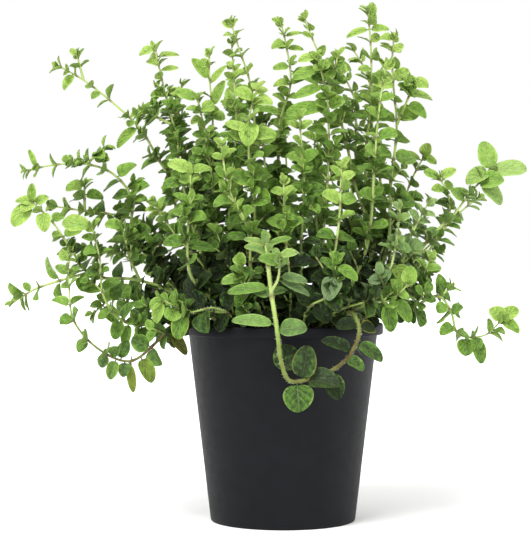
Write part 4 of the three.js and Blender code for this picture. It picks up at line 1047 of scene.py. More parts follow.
class Skin:
    """The vertices and faces of one piece while it is being built."""

    def __init__(self):
        self.count = 0
        self.points, self.uvs, self.tones = [], [], []
        self.loops, self.sizes, self.slots = [], [], []

    def face_rows(self, faces, slots):
        self.loops.append(faces.ravel())
        self.sizes.append(np.full(len(faces), faces.shape[1]))
        self.slots.append(np.broadcast_to(slots, len(faces)))

    def sheath(self, rings, uvs, slots, tones):
        """A closed skin over rings that turn left about the way they go: quads, and a cap at each end."""
        rows, around = rings.shape[:2]
        at = self.count + np.arange(rows * around).reshape(rows, around)
        ahead = np.roll(at, -1, axis=1)
        quads = np.stack([at[:-1], ahead[:-1], ahead[1:], at[1:]], axis=-1)
        self.face_rows(quads.reshape(-1, 4), np.tile(slots, rows - 1))
        self.face_rows(at[:1, ::-1], slots[:1])
        self.face_rows(at[-1:], slots[:1])
        self.points.append(rings.reshape(-1, 3))
        self.uvs.append(uvs.reshape(-1, 2))
        self.tones.append(np.broadcast_to(tones, (rows * around, 4)))
        self.count += rows * around

    def hairs(self, roots, sides, tips):
        """Loose three-sided spikes, each with its root triangle's middle and one side of it given."""
        ways = tips - roots
        across = np.cross(ways, sides)
        across *= HAIR_HALF / np.linalg.norm(across, axis=1)[:, None]
        other = np.cross(ways, across)
        other *= HAIR_HALF / np.linalg.norm(other, axis=1)[:, None]
        corners = [roots + across, *(roots - across / 2 + k * other for k in (HAIR_CORNER, -HAIR_CORNER))]
        at = self.count + 4 * np.arange(len(roots))[:, None]
        faces = np.array([(0, 2, 1), (0, 1, 3), (1, 2, 3), (2, 0, 3)])
        self.face_rows((at[:, None] + faces).reshape(-1, 3), np.array([DOWN]))
        self.points.append(np.stack([*corners, tips], axis=1).reshape(-1, 3))
        self.uvs.append(np.zeros((4 * len(roots), 2)))
        self.tones.append(np.ones((4 * len(roots), 4)))
        self.count += 4 * len(roots)

    def make(self, name, materials):
        """The piece as an object, in metres, with smooth faces and sharp margins."""
        mesh = bpy.data.meshes.new(name)
        points = np.concatenate(self.points) * MM
        loops, sizes = np.concatenate(self.loops), np.concatenate(self.sizes)
        mesh.vertices.add(len(points))
        mesh.vertices.foreach_set("co", points.ravel())
        mesh.loops.add(len(loops))
        mesh.loops.foreach_set("vertex_index", loops)
        mesh.polygons.add(len(sizes))
        mesh.polygons.foreach_set("loop_start", np.cumsum(sizes) - sizes)
        mesh.polygons.foreach_set("material_index", np.concatenate(self.slots))
        mesh.uv_layers.new(name="Blade")
        mesh.uv_layers[0].data.foreach_set("uv", np.concatenate(self.uvs)[loops].ravel())
        tone = mesh.color_attributes.new("Tone", "FLOAT_COLOR", "POINT")
        tone.data.foreach_set("color", np.concatenate(self.tones).ravel())
        mesh.update(calc_edges=True)
        mesh.validate()
        return finished(mesh, materials, SHARP_ANGLE)


def finished(mesh, materials, sharp):
    """A mesh as an object, its faces smooth up to the sharp angle."""
    mesh.shade_smooth()
    mesh.set_sharp_from_angle(angle=sharp)
    for material in materials:
        mesh.materials.append(material)
    piece = bpy.data.objects.new(mesh.name, mesh)
    bpy.context.scene.collection.objects.link(piece)
    return piece


def blade_rings(leaf, looks):
    """A blade's rings of points from stalk to tip, their places on it, and each face's side of it."""
    stations, columns = next(grid for least, *grid in BLADE_GRIDS if leaf.length >= least)
    over = np.linspace(1, -1, columns + 1)
    side = np.concatenate([over, -over[1:-1]])
    face = np.concatenate([np.ones(columns + 1), -np.ones(columns - 1)])
    face[[0, columns]] = 0
    s = np.array(stations)[:, None]
    t = (s - PETIOLE) / (1 - PETIOLE)
    blade = leaf.width / 2 * np.sin(np.pi * np.clip(t, 0, 1) ** BLADE_SHIFT).clip(0) ** BLADE_ROUND
    stalk = STALK_HALF * np.clip((1.02 - s) / POINT_TAPER, POINT_HALF, 1)
    half = np.maximum(blade, stalk)
    stalky = np.clip(1 - s / (STALK_BLEND * PETIOLE), 0, 1)
    thick = mix(BLADE_THICKNESS, STALK_THICKNESS, stalky) / 2
    cup = LEAF_FOLD * looks["cup"] * half * np.abs(side) ** 1.3
    waves = np.sin(2 * np.pi * (LEAF_WAVES * s + looks["phase"]) + 2 * side)
    wave = looks["wave"] * half * side**2 * waves
    droop = -LEAF_DROOP * leaf.length * s**2 + looks["curl"] * leaf.length * s**3
    turn = looks["twist"] * s
    across = half * side * np.cos(turn)
    rise = cup + wave + droop + half * side * np.sin(turn) + thick * face
    place = np.array(leaf.root) + (s * leaf.length)[..., None] * np.array(leaf.along)
    rings = place + across[..., None] * np.array(leaf.aside) + rise[..., None] * np.array(leaf.up)
    uvs = np.stack(np.broadcast_arrays((side + 1) / 2, s), axis=-1)
    return rings, uvs, np.repeat([UPPER, UNDER], columns)


def stem_rings(stem):
    """A stem's rings, a little square in section and swollen where leaves grow."""
    points = np.array(stem.points)
    ahead = np.gradient(points, axis=0)
    ahead /= np.linalg.norm(ahead, axis=1)[:, None]
    turn = np.arange(STEM_SIDES) * 2 * np.pi / STEM_SIDES
    corner = 1 + STEM_CORNER * np.cos(4 * turn)
    across = np.array(square_to(tuple(ahead[0])))
    end = stem.tip if stem.tip > STEM_TIP else min(stem.tip, STEM_END)
    rings = []
    for i, way in enumerate(ahead):
        across = across - way * (across @ way)
        across /= np.linalg.norm(across)
        other = np.cross(way, across)
        radius = STEM_SLIM * mix(stem.base, end, i / (len(points) - 1))
        radius *= 1 + NODE_SWELLING * (i in stem.nodes)
        ring = np.cos(turn)[:, None] * across + np.sin(turn)[:, None] * other
        rings.append(points[i] + ring * (radius * corner)[:, None])
    return np.array(rings)


def stem_hairs(rings, draw):
    """The roots, sides and tips of the short hairs that stand out all round a stem."""
    picks = np.random.default_rng(int(draw() * 1e6))
    count = int(HAIRS_PER_STEP * (len(rings) - 1))
    row, side = picks.integers(0, len(rings) - 1, count), picks.integers(0, STEM_SIDES, count)
    share = picks.random((count, 1))
    skin = rings[row, side] * (1 - share) + rings[row + 1, side] * share
    middle = rings[row].mean(axis=1) * (1 - share) + rings[row + 1].mean(axis=1) * share
    out = skin - middle
    out /= np.linalg.norm(out, axis=1)[:, None]
    ahead = rings[row + 1, side] - rings[row, side]
    lengths = HAIR_LENGTH * (HAIR_LENGTHS[0] + HAIR_LENGTHS[1] * picks.random((count, 1)))
    ways = out + HAIR_JITTER * (picks.random((count, 3)) - 0.5)
    return skin - HAIR_SUNK * out, ahead, skin + lengths * ways


def clamp(value, least=0.0):
    return min(1.0, max(least, value))


def stem_tones(stem, shade, lift):
    """For each point of its rings: how light and green it is, with a little painted shade, and whether
    leaves grow there.
    """
    rows = np.zeros((len(stem.points), STEM_SIDES, 4))
    for i, point in enumerate(stem.points):
        high = clamp((point[2] - SOIL_TOP) / STEM_GREEN)
        light = STEM_HIGH * high + STEM_GROWN * stem_age(stem, i) + lift - STEM_SHADE * shade(point)
        rows[i] = (clamp(light), i in stem.nodes, 0, 1)
    return rows.reshape(-1, 4)


def stem_age(stem, i):
    """How young a stem is at point i: from 0 at the soil to 1 at its tip."""
    root = stem_age(stem.parent, stem.start) if stem.parent else 0.0
    return mix(root, 1.0, i / (len(stem.points) - 1))


def shade_finder(leaves):
    """How shaded a place is, from 0 to 1: the share of the room outside it that leaves fill."""
    middles = [leaf.point(0.5, 0) for own in leaves for leaf in own]
    tree = KDTree(len(middles))
    for i, middle in enumerate(middles):
        tree.insert(middle, i)
    tree.balance()

    def shade(place):
        out = unit((place[0], place[1], max(0.0, place[2] - OUT_LEVEL)))
        seen = tree.find_range(add(place, out, SHADE_STEP), SHADE_REACH)
        return min(1.0, len(seen) / SHADE_FULL)

    return shade


def painted_inner_shade(place):
    """How much painted shade darkens a leaf that sits low inside the bush or hangs below the rim."""
    hanging = clamp((POT_HEIGHT - place[2]) / HANGING_SPAN)
    return low_inside(place, DARK_WITHIN) + HANGING_SHARE * hanging


def low_inside(place, within):
    """1 deep inside the bush and low down, falling to 0 at that distance from the pot's axis."""
    low = clamp((DARK_BELOW - place[2]) / DARK_DEPTH)
    return low * clamp((within - math.hypot(place[0], place[1])) / DARK_SPAN)


def leaf_looks(draw):
    """The small bends of one blade."""
    return {
        "cup": mix(*LEAF_CUPS, draw()),
        "wave": LEAF_WAVE * draw(),
        "phase": draw(),
        "curl": mix(*LEAF_CURLS, draw()),
        "twist": mix(*LEAF_TWISTS, draw()),
    }


def leaf_tone(leaf, cast, lift, draw, shade):
    """How light a leaf is, with its painted light and shade, how silvery or yellow, a chance of its own and
    full alpha.
    """
    grown = leaf.at / (len(leaf.stem.points) - 1)
    middle = leaf.point(0.5, 0)
    light = LIGHT_PLAIN + LIGHT_GROWN * grown + LIGHT_TIP * grown**5 + lift + LIGHT_CHANCE * (draw() - 0.5)
    # High up a leaf is lighter, for younger leaves and as painted light from above; low down it is darker.
    high = clamp((leaf.root[2] - HIGH_LEVEL) / HIGH_SPAN, -1)
    light += HIGH_YOUNG_AND_PAINTED_LIGHT * high + LIGHT_SMALL * max(0, 1 - leaf.length / SMALL_LEAF)
    # Painted shade: the leaves outside it, and its place low inside the bush or under the rim, darken its
    # colour.
    light -= SHADE_DEPTH * shade(middle) + painted_inner_shade(middle)
    warm = cast + WARM_CHANCE * (draw() - 0.5)
    tip = tuple(round(value) for value in add(leaf.root, leaf.along, leaf.length))
    warm, own_lift = TINTS.get(tip, (warm, 0.0))
    return clamp(light + own_lift), clamp(warm), draw(), 1


def spray_skin(index, stems, leaves, shade):
    """One spray: its stems, then its blades, each with its own small bends and tone."""
    skin = Skin()
    draw = make_draw(LOOKS_SEED + index)
    cast, lift = CASTS.get(SPRAYS[index]["name"], PLAIN_CAST)
    for stem in (stem for stem in stems if stem.spray == index):
        rings = stem_rings(stem)
        uvs = np.zeros((*rings.shape[:2], 2))
        uvs[..., 1] = np.arange(len(rings))[:, None] * STEM_STEP / 10
        skin.sheath(rings, uvs, np.full(STEM_SIDES, BARK), stem_tones(stem, shade, STEM_LIFT * lift))
        if stem.base > TWIG_ROOT:
            skin.hairs(*stem_hairs(rings, draw))
    for leaf in leaves:
        rings, uvs, slots = blade_rings(leaf, leaf_looks(draw))
        skin.sheath(rings, uvs, slots, leaf_tone(leaf, cast, lift, draw, shade))
    return skin


# ---- Small growth of the looks only: young leaves at the tips and in the axils


def grow_small(stems, leaves, grid):
    """Tight young pairs at every tip, leafy twigs in the axils and old leaves low on the stems."""
    draw = make_draw(SMALL_SEED)
    crowd = crowd_finder(stems)
    twigs = []
    for stem in stems:
        last = len(stem.points) - 1
        grow_tip(stem, 1.0, draw, grid, leaves)
        spray = SPRAYS[stem.spray]
        if spray["name"] in BARE_SPRAYS:
            continue
        for i in sorted(stem.nodes):
            if 0 < i < last * TWIG_TOP:
                twigs += grow_twigs(stem, i, twig_share(crowd, stem, i), draw, grid, leaves)
        gap = round_half_up(spray["gap"] * LOW_GAP / STEM_STEP)
        highest = min(stem.nodes, default=last) - gap
        for i in range(highest, int(last * LOW_SHOOT) if stem.parent else ROOTED_POINTS - 2, -gap):
            length = spray["leaf"] * mix(*LOW_LENGTHS, draw())
            share = twig_share(crowd, stem, i)
            if share > LOW_CROWD:
                small_pair(stem, i, draw() * math.pi, LOW_SPREAD, length, draw, grid, leaves)
            twigs += grow_twigs(stem, i, share, draw, grid, leaves)
    return twigs


def crowd_finder(stems):
    """How thick the bush is round a stem's point, from 0 in the open to 1, by the sprays that pass."""
    tree = KDTree(sum(len(stem.points) for stem in stems))
    owners = []
    for stem in stems:
        for point in stem.points:
            tree.insert(point, len(owners))
            owners.append(stem.spray)
    tree.balance()

    def crowd(stem, i):
        near = tree.find_range(stem.points[i], CROWD_REACH)
        others = {owners[index] for _, index, _ in near} - {stem.spray}
        return min(1.0, len(others) / CROWD_FULL)

    return crowd


def twig_share(crowd, stem, i):
    """How many twigs grow at a stem's point: more in the thick of the bush, few low in its front half."""
    place = stem.points[i]
    thinned = TWIG_THINNING * low_inside(place, THIN_WITHIN) if place[1] < THIN_BEFORE else 0
    return crowd(stem, i) * (1 - thinned)


def grow_tip(stem, scale, draw, grid, leaves, skipped=0):
    """The young pairs at a stem's end, each turned across the last."""
    last = len(stem.points) - 1
    turn = draw() * math.pi
    for spread, length, back in list(zip(TIP_SPREADS, TIP_LENGTHS, TIP_GAPS))[skipped:]:
        small_pair(stem, max(0, last - back), turn, spread, length * scale, draw, grid, leaves)
        turn += PHYLLOTAXY


def grow_twigs(stem, i, share, draw, grid, leaves):
    """Up to two leafy twigs from a leaf joint, shorter towards the stem's tip."""
    axis, across, other = joint_axes(stem, i)
    turn = draw() * math.pi
    grown = i / (len(stem.points) - 1)
    twigs = []
    for side in (0, math.pi):
        chance, lean = draw(), turn + side + (draw() - 0.5)
        length = mix(*TWIG_LENGTHS, draw()) * (1 - TWIG_TAPER * grown)
        if SPRAYS[stem.spray]["name"] in BUSHY_SPRAYS:
            length *= BUSHY_LENGTH
        if chance > TWIG_SHARE * share:
            continue
        radial = turned(across, other, lean)
        along = unit(add(add(axis, radial, TWIG_LEAN), (0.0, 0.0, TWIG_RISE)))
        bend = times(radial, TWIG_BEND * (draw() - 0.5))
        points = [stem.points[i]]
        for _ in range(max(2, round(length / TWIG_STEP))):
            along = unit(add(add(along, bend), (0.0, 0.0, TWIG_LIFT)))
            points.append(add(points[-1], along, TWIG_STEP))
        if not all(clear_of_pot(point, TWIG_ROOT) for point in points[1:]):
            continue
        twig = Stem(stem.spray, points, TWIG_ROOT, stem, i, TWIG_END)
        twigs.append(twig)
        scale = TWIG_SMALLEST + TWIG_LARGER * (1 - grown)
        grow_tip(twig, scale, draw, grid, leaves, 1)
        turn_at = draw() * math.pi
        for k in range(len(points) - 3, 1, -round(TWIG_GAP / TWIG_STEP)):
            twig.nodes.add(k)
            long = mix(*TWIG_LEAVES, draw()) * scale
            small_pair(twig, k, turn_at, TWIG_SPREAD, long, draw, grid, leaves)
            turn_at += PHYLLOTAXY
    return twigs


def small_pair(stem, i, turn, spread, length, draw, grid, leaves):
    """Two small leaves, each left out if it isn't clear of the rest after a few turns."""
    axis, across, other = joint_axes(stem, i)
    for side in (0, math.pi):
        lean = turn + side + (draw() - 0.5) * SMALL_JITTER
        long = length * mix(*SMALL_LENGTHS, draw())
        width = long * (TIP_WIDTH if spread < 0.5 else mix(TIP_WIDTH, LEAF_WIDTH, spread))
        for extra in TURNS[:SMALL_TURNS]:
            radial = turned(across, other, lean + extra)
            along = unit(add(times(radial, math.sin(spread)), axis, math.cos(spread)))
            leaf = Leaf(stem, i, along, face_wish(stem.points[i], axis), long, width)
            if settle(leaf, stem.spray, grid, leaves[stem.spray], SMALL_SHARE):
                break


# ---- Materials

ATTRIBUTE = "ShaderNodeAttribute"
BUMP = "ShaderNodeBump"
COORDS = "ShaderNodeTexCoord"
MATH = "ShaderNodeMath"
MIX = "ShaderNodeMix"
MIX_SHADER = "ShaderNodeMixShader"
NOISE = "ShaderNodeTexNoise"
OUTPUT = "ShaderNodeOutputMaterial"
RAMP = "ShaderNodeValToRGB"
RANGE = "ShaderNodeMapRange"
SPLIT_COLOUR = "ShaderNodeSeparateColor"
SPLIT_VECTOR = "ShaderNodeSeparateXYZ"
SURFACE = "ShaderNodeBsdfPrincipled"
TRANSLUCENT = "ShaderNodeBsdfTranslucent"
UV_MAP = "ShaderNodeUVMap"


def linear(hex_colour):
    """An sRGB hex colour such as "#5f9a35" as linear red, green, blue and alpha."""
    parts = [int(hex_colour[i : i + 2], 16) / 255 for i in (1, 3, 5)]
    return tuple(c / 12.92 if c <= 0.04045 else ((c + 0.055) / 1.055) ** 2.4 for c in parts) + (1.0,)


def new_material(name):
    material = bpy.data.materials.new(name)
    material.use_nodes = True
    material.node_tree.nodes.clear()
    return material


def node(material, kind, inputs=(), stops=(), **settings):
    """Adds a node with its settings and a ramp's stops, and sets or links its inputs.

    Inputs are given in order or by name or number. A node given as one stands for its first output.
    """
    made = material.node_tree.nodes.new(kind)
    for name, value in settings.items():
        setattr(made, name, value)
    for name, value in inputs.items() if isinstance(inputs, dict) else enumerate(inputs):
        value = value.outputs[0] if isinstance(value, bpy.types.Node) else value
        if isinstance(value, bpy.types.NodeSocket):
            material.node_tree.links.new(value, made.inputs[name])
        else:
            made.inputs[name].default_value = value
    for _ in stops[2:]:
        made.color_ramp.elements.new(1.0)
    for k, (place, colour) in enumerate(stops):
        made.color_ramp.elements[k].position = place
        made.color_ramp.elements[k].color = linear(colour)
    return made


def per_mm(size_mm):
    """A pattern's scale over a piece in metres, from the size of its patches in millimetres."""
    return 1 / (size_mm * MM)


def leaf_material(name, settings, under):
    """Living leaf: a waxy skin with short hairs over green flesh, matt, with pale sunken veins.

    It shines a little through when lit from behind. Underneath it is paler and its veins stand out.
    """
    material = new_material(name)
    tone = node(material, ATTRIBUTE, attribute_name="Tone").outputs["Color"]
    light, warm, chance = node(material, SPLIT_COLOUR, {"Color": tone}).outputs
    across, along, _ = node(material, SPLIT_VECTOR, [node(material, UV_MAP, uv_map="Blade")]).outputs
    aside = node(material, MATH, (across, 2.0, -1.0), operation="MULTIPLY_ADD")
    aside = node(material, MATH, [aside], operation="ABSOLUTE")
    veins = vein_pattern(material, aside, along)
    where = node(material, COORDS).outputs["Object"]
    mottle, down, pucker = (
        node(material, NOISE, {"Vector": where, "Scale": per_mm(size_mm), "Detail": 3.0})
        for size_mm in (LEAF_MOTTLE, LEAF_DOWN, LEAF_PUCKER)
    )
    # Green by how light the leaf is, which holds its age and its painted light and shade, uneven over the
    # blade and a little lighter towards its margin.
    level = node(material, MATH, (mottle, 0.85, -0.42), operation="MULTIPLY_ADD")
    level = node(material, MATH, (light, level), operation="ADD")
    level = node(material, MATH, (aside, 0.14, level), operation="MULTIPLY_ADD")
    level = node(material, MATH, (level, 0.08), operation="SUBTRACT")
    greens = ((0.0, settings.deep), (0.24, settings.old), (0.58, settings.grown), (0.98, settings.young))
    flesh = node(material, RAMP, [level], greens)
    # Coats over the green, each with its share: yellowing, silvery down, the pale underside, the pale
    # veins and margin, which fade on light leaves, and the worn margins of a few.
    yellow = node(material, RANGE, (warm, 0.68, 1.15), interpolation_type="SMOOTHSTEP")
    silver = node(material, RANGE, (warm, 0.5, 0.0), interpolation_type="SMOOTHSTEP")
    silver = node(material, MATH, (silver, 0.7), operation="MULTIPLY")
    downy = node(material, RANGE, (down, 0.45, 0.75), interpolation_type="SMOOTHSTEP")
    downy = node(material, MATH, (downy, 0.3, 0.5), operation="MULTIPLY_ADD")
    pale = node(material, MATH, (veins, 0.5 if under else 0.48), operation="MULTIPLY")
    margin = node(material, RANGE, (aside, 0.86, 1.05), interpolation_type="SMOOTHSTEP")
    pale = node(material, MATH, (pale, margin), operation="MAXIMUM")
    pale = node(material, MATH, (pale, downy), operation="MULTIPLY")
    shaded = node(material, RANGE, (light, -0.15, 0.65), interpolation_type="SMOOTHSTEP")
    pale = node(material, MATH, (pale, shaded), operation="MULTIPLY")
    edge = node(material, RANGE, (aside, 0.8, 1.0), interpolation_type="SMOOTHSTEP")
    few = node(material, RANGE, (chance, 0.93, 1.0), interpolation_type="SMOOTHSTEP")
    worn = node(material, MATH, (edge, few), operation="MULTIPLY")
    worn = node(material, MATH, (worn, 0.6), operation="MULTIPLY")
    coats = [(yellow, settings.aged), (silver, settings.silvery)]
    coats += [(0.38, settings.underside)] if under else []
    for share, colour in [*coats, (pale, settings.vein), (worn, settings.aged)]:
        inputs = {0: share, 6: flesh, 7: linear(colour)}
        flesh = node(material, MIX, inputs, data_type="RGBA").outputs[2]
    relief = node(material, MATH, (veins, 1.0 if under else -1.0), operation="MULTIPLY")
    relief = node(material, MATH, (pucker, 0.9, relief), operation="MULTIPLY_ADD")
    bump = node(material, BUMP, {"Height": relief, "Distance": VEIN_DEPTH * MM, "Strength": 0.9})
    inputs = {
        "Base Color": flesh,
        "Normal": bump,
        "Roughness": 0.7 if under else 0.42,
        "IOR": 1.42,
        "Specular IOR Level": 0.28,
        "Sheen Weight": 0.12,
        "Sheen Roughness": 0.4,
        "Sheen Tint": linear(settings.vein),
    }
    skin = node(material, SURFACE, inputs)
    inputs = {0: 0.5, 6: flesh, 7: linear(settings.glow)}
    glow = node(material, MIX, inputs, data_type="RGBA").outputs[2]
    through = node(material, TRANSLUCENT, {"Color": glow, "Normal": bump})
    both = node(material, MIX_SHADER, (settings.see_through, skin, through))
    node(material, OUTPUT, {"Surface": both})
    return material


def vein_pattern(material, aside, along):
    """1 on a blade's midrib and its bowed side veins, which fade towards the margin."""
    bow = node(material, MATH, (aside, VEIN_BOW, VEIN_SLANT), operation="MULTIPLY_ADD")
    bow = node(material, MATH, (aside, bow), operation="MULTIPLY")
    ladder = node(material, MATH, (along, bow), operation="SUBTRACT")
    from_vein = node(material, MATH, (ladder, VEIN_GAP / 2), operation="PINGPONG")
    ends = (from_vein, VEIN_GAP * VEIN_WIDTH, 0.0)
    side_vein = node(material, RANGE, ends, interpolation_type="SMOOTHSTEP")
    fading = node(material, RANGE, (aside, 1.0, 0.3), interpolation_type="SMOOTHSTEP")
    side_vein = node(material, MATH, (side_vein, fading), operation="MULTIPLY")
    side_vein = node(material, MATH, (side_vein, VEIN_FAINTER), operation="MULTIPLY")
    midrib = node(material, RANGE, (aside, MIDRIB, MIDRIB * MIDRIB_FULL), interpolation_type="SMOOTHSTEP")
    return node(material, MATH, (midrib, side_vein), operation="MAXIMUM")


def stem_material(settings):
    """Young herb stem: ribbed green skin with short hairs, purple at the leaf joints, woody low down."""
    material = new_material("herb_stem_ribbed")
    tone = node(material, ATTRIBUTE, attribute_name="Tone").outputs["Color"]
    light, joint, _ = node(material, SPLIT_COLOUR, {"Color": tone}).outputs
    where = node(material, COORDS).outputs["Object"]
    patches, ribs = (
        node(material, NOISE, {"Vector": where, "Scale": per_mm(size_mm), "Detail": 3.0})
        for size_mm in (STEM_PATCH, STEM_RIB)
    )
    # The stem's lightness holds its age, its height above the soil and a little painted shade.
    level = node(material, MATH, (patches, 0.3, -0.15), operation="MULTIPLY_ADD")
    level = node(material, MATH, (light, level), operation="ADD")
    ages = ((0.02, settings.woody), (0.2, settings.old), (0.5, settings.green), (0.95, settings.young))
    skin = node(material, RAMP, [level], ages)
    joint = node(material, MATH, (joint, 0.75), operation="MULTIPLY")
    inputs = {0: joint, 6: skin, 7: linear(settings.joint)}
    skin = node(material, MIX, inputs, data_type="RGBA").outputs[2]
    bump = node(material, BUMP, {"Height": ribs, "Distance": STEM_RIB_DEPTH * MM, "Strength": 0.7})
    inputs = {"Base Color": skin, "Normal": bump, "Roughness": 0.6, "IOR": 1.42, "Specular IOR Level": 0.2}
    node(material, OUTPUT, {"Surface": node(material, SURFACE, inputs)})
    return material


def hair_material(settings):
    """Dry plant hair: whitish and matt, which gives the stems their faint pale edge."""
    material = new_material("plant_hair_whitish")
    inputs = {"Base Color": linear(settings.hair), "Roughness": 0.8, "Specular IOR Level": 0.2}
    node(material, OUTPUT, {"Surface": node(material, SURFACE, inputs)})
    return material


def pot_material(settings):
    """Recycled polypropylene, injection moulded: near black with a faint blue cast, satin and grained."""
    material = new_material("polypropylene_moulded_charcoal")
    where = node(material, COORDS).outputs["Object"]
    patches, wear, grain = (
        node(material, NOISE, {"Vector": where, "Scale": per_mm(size_mm), "Detail": detail})
        for size_mm, detail in ((POT_PATCH, 4.0), (POT_WEAR, 5.0), (POT_GRAIN, 3.0))
    )
    base = linear(settings.colour)
    pale = tuple(min(1.0, c * 1.5 + 0.002) for c in base[:3]) + (1.0,)
    colour = node(material, MIX, {0: patches, 6: base, 7: pale}, data_type="RGBA").outputs[2]
    inputs = {
        "Base Color": colour,
        "Roughness": node(material, MATH, (wear, 0.2, 0.45), operation="MULTIPLY_ADD"),
        "Normal": node(material, BUMP, {"Height": grain, "Distance": POT_GRAIN_DEPTH * MM, "Strength": 0.5}),
        "IOR": 1.49,
        "Specular IOR Level": 0.15,
    }
    node(material, OUTPUT, {"Surface": node(material, SURFACE, inputs)})
    return material


def peat_material(settings):
    """Damp peat compost: matt and very dark, with paler fibres and crumbs."""
    material = new_material("peat_compost_damp")
    where = node(material, COORDS).outputs["Object"]
    crumbs = node(material, NOISE, {"Vector": where, "Scale": per_mm(PEAT_CRUMB), "Detail": 6.0})
    browns = ((0.3, settings.dark), (0.6, settings.mid), (0.8, settings.pale))
    inputs = {
        "Base Color": node(material, RAMP, [crumbs], browns),
        "Normal": node(material, BUMP, {"Height": crumbs, "Distance": PEAT_DEPTH * MM, "Strength": 0.9}),
        "Roughness": 0.95,
        "Specular IOR Level": 0.2,
    }
    node(material, OUTPUT, {"Surface": node(material, SURFACE, inputs)})
    return material


def stage_material(settings):
    """Matt white studio board: evenly pale, with no gloss."""
    material = new_material("studio_board_matt_white")
    inputs = {"Base Color": linear(settings.floor), "Roughness": 0.95, "Specular IOR Level": 0.1}
    node(material, OUTPUT, {"Surface": node(material, SURFACE, inputs)})
    return material


# ---- Settings that a user may change


def hex_colour(name, description, default):
    described = f"{description}, as an sRGB hex value"
    return StringProperty(name=name, description=described, default=default, maxlen=7)


class OreganoPotSettings(PropertyGroup):
    colour: hex_colour("Plastic", "Colour of the pot's plastic", "#08090d")
    sides: IntProperty(name="Sides", description="Faces round the pot", default=96, min=24, max=256)


class OreganoSoilSettings(PropertyGroup):
    dark: hex_colour("Damp peat", "Colour of the wettest peat", "#140e0a")
    mid: hex_colour("Peat", "Colour of most of the peat", "#2a1d15")
    pale: hex_colour("Fibres", "Colour of dry fibres", "#5a4432")
    crumbs: IntProperty(
        name="Crumbs", description="Loose crumbs on the peat", default=420, min=0, max=2000
    )


class OreganoLeafSettings(PropertyGroup):
    # The deep green is also the painted shade of leaves deep inside the bush.
    deep: hex_colour("Deep leaf", "Colour of the oldest inner leaves", "#101e0a")
    old: hex_colour("Old leaf", "Colour of old outer leaves", "#40631f")
    grown: hex_colour("Grown leaf", "Colour of full-grown leaves", "#729c34")
    young: hex_colour("Young leaf", "Colour of the leaves at the tips", "#a8c65e")
    aged: hex_colour("Aged leaf", "Colour of yellowing leaves", "#b5ab45")
    silvery: hex_colour("Silvery leaf", "Colour of the greyer leaves", "#8ba672")
    underside: hex_colour("Underside", "Colour that pales the undersides", "#93aa62")
    vein: hex_colour("Vein", "Colour of the veins", "#c0d68c")
    glow: hex_colour("Light through", "Colour of light through a leaf", "#a6c244")
    see_through: FloatProperty(
        name="See-through",
        description="Share of light that passes through a leaf",
        default=0.2,
        min=0,
        max=1,
        subtype="FACTOR",
    )


class OreganoStemSettings(PropertyGroup):
    woody: hex_colour("Woody stem", "Colour of stems at the soil", "#33241a")
    old: hex_colour("Old stem", "Colour of the lower stems", "#57502a")
    green: hex_colour("Green stem", "Colour of the middle of the stems", "#87a04e")
    young: hex_colour("Young stem", "Colour of the ends of the stems", "#adc070")
    joint: hex_colour("Leaf joint", "Colour where leaves grow", "#553a30")
    hair: hex_colour("Hair", "Colour of the short hairs", "#dfe6cf")


class OreganoStageSettings(PropertyGroup):
    floor: hex_colour("Floor", "Colour of the floor", "#fafaf9")
    sky: FloatProperty(name="Sky", description="Strength of the even light", default=1.0, min=0, max=5)
    key: FloatProperty(
        name="Key light", description="Strength of the main lamp", default=3.0, min=0, max=20
    )
    distance: FloatProperty(
        name="Camera distance",
        description="From the camera to the pot's middle",
        default=1.2,
        min=0.5,
        max=5,
        unit="LENGTH",
    )


# ---- Pieces


def revolve(profile, sides):
    """A closed mesh of revolution about the pot's axis, from a loop of radius and height in millimetres."""
    turn = np.arange(sides) * 2 * np.pi / sides
    out = np.array(profile, float)
    points = np.stack(
        [
            np.outer(out[:, 0], np.cos(turn)),
            np.outer(out[:, 0], np.sin(turn)),
            np.repeat(out[:, 1:], sides, axis=1),
        ],
        axis=-1,
    )
    faces = []
    rows = len(profile)
    for i in range(rows - 1):
        for j in range(sides):
            k = (j + 1) % sides
            faces.append((i * sides + j, i * sides + k, (i + 1) * sides + k, (i + 1) * sides + j))
    faces.append(tuple(reversed(range(sides))))
    faces.append(tuple(range((rows - 1) * sides, rows * sides)))
    return points.reshape(-1, 3), faces


def mesh_piece(name, points, faces, material, sharp):
    mesh = bpy.data.meshes.new(name)
    mesh.from_pydata([tuple(point) for point in points * MM], [], faces)
    mesh.update(calc_edges=True)
    return finished(mesh, [material], sharp)


def wall_inside(level):
    """The pot's inner radius at a height."""
    return mix(POT_FOOT_RADIUS, POT_TOP_RADIUS, level / POT_HEIGHT) - POT_WALL


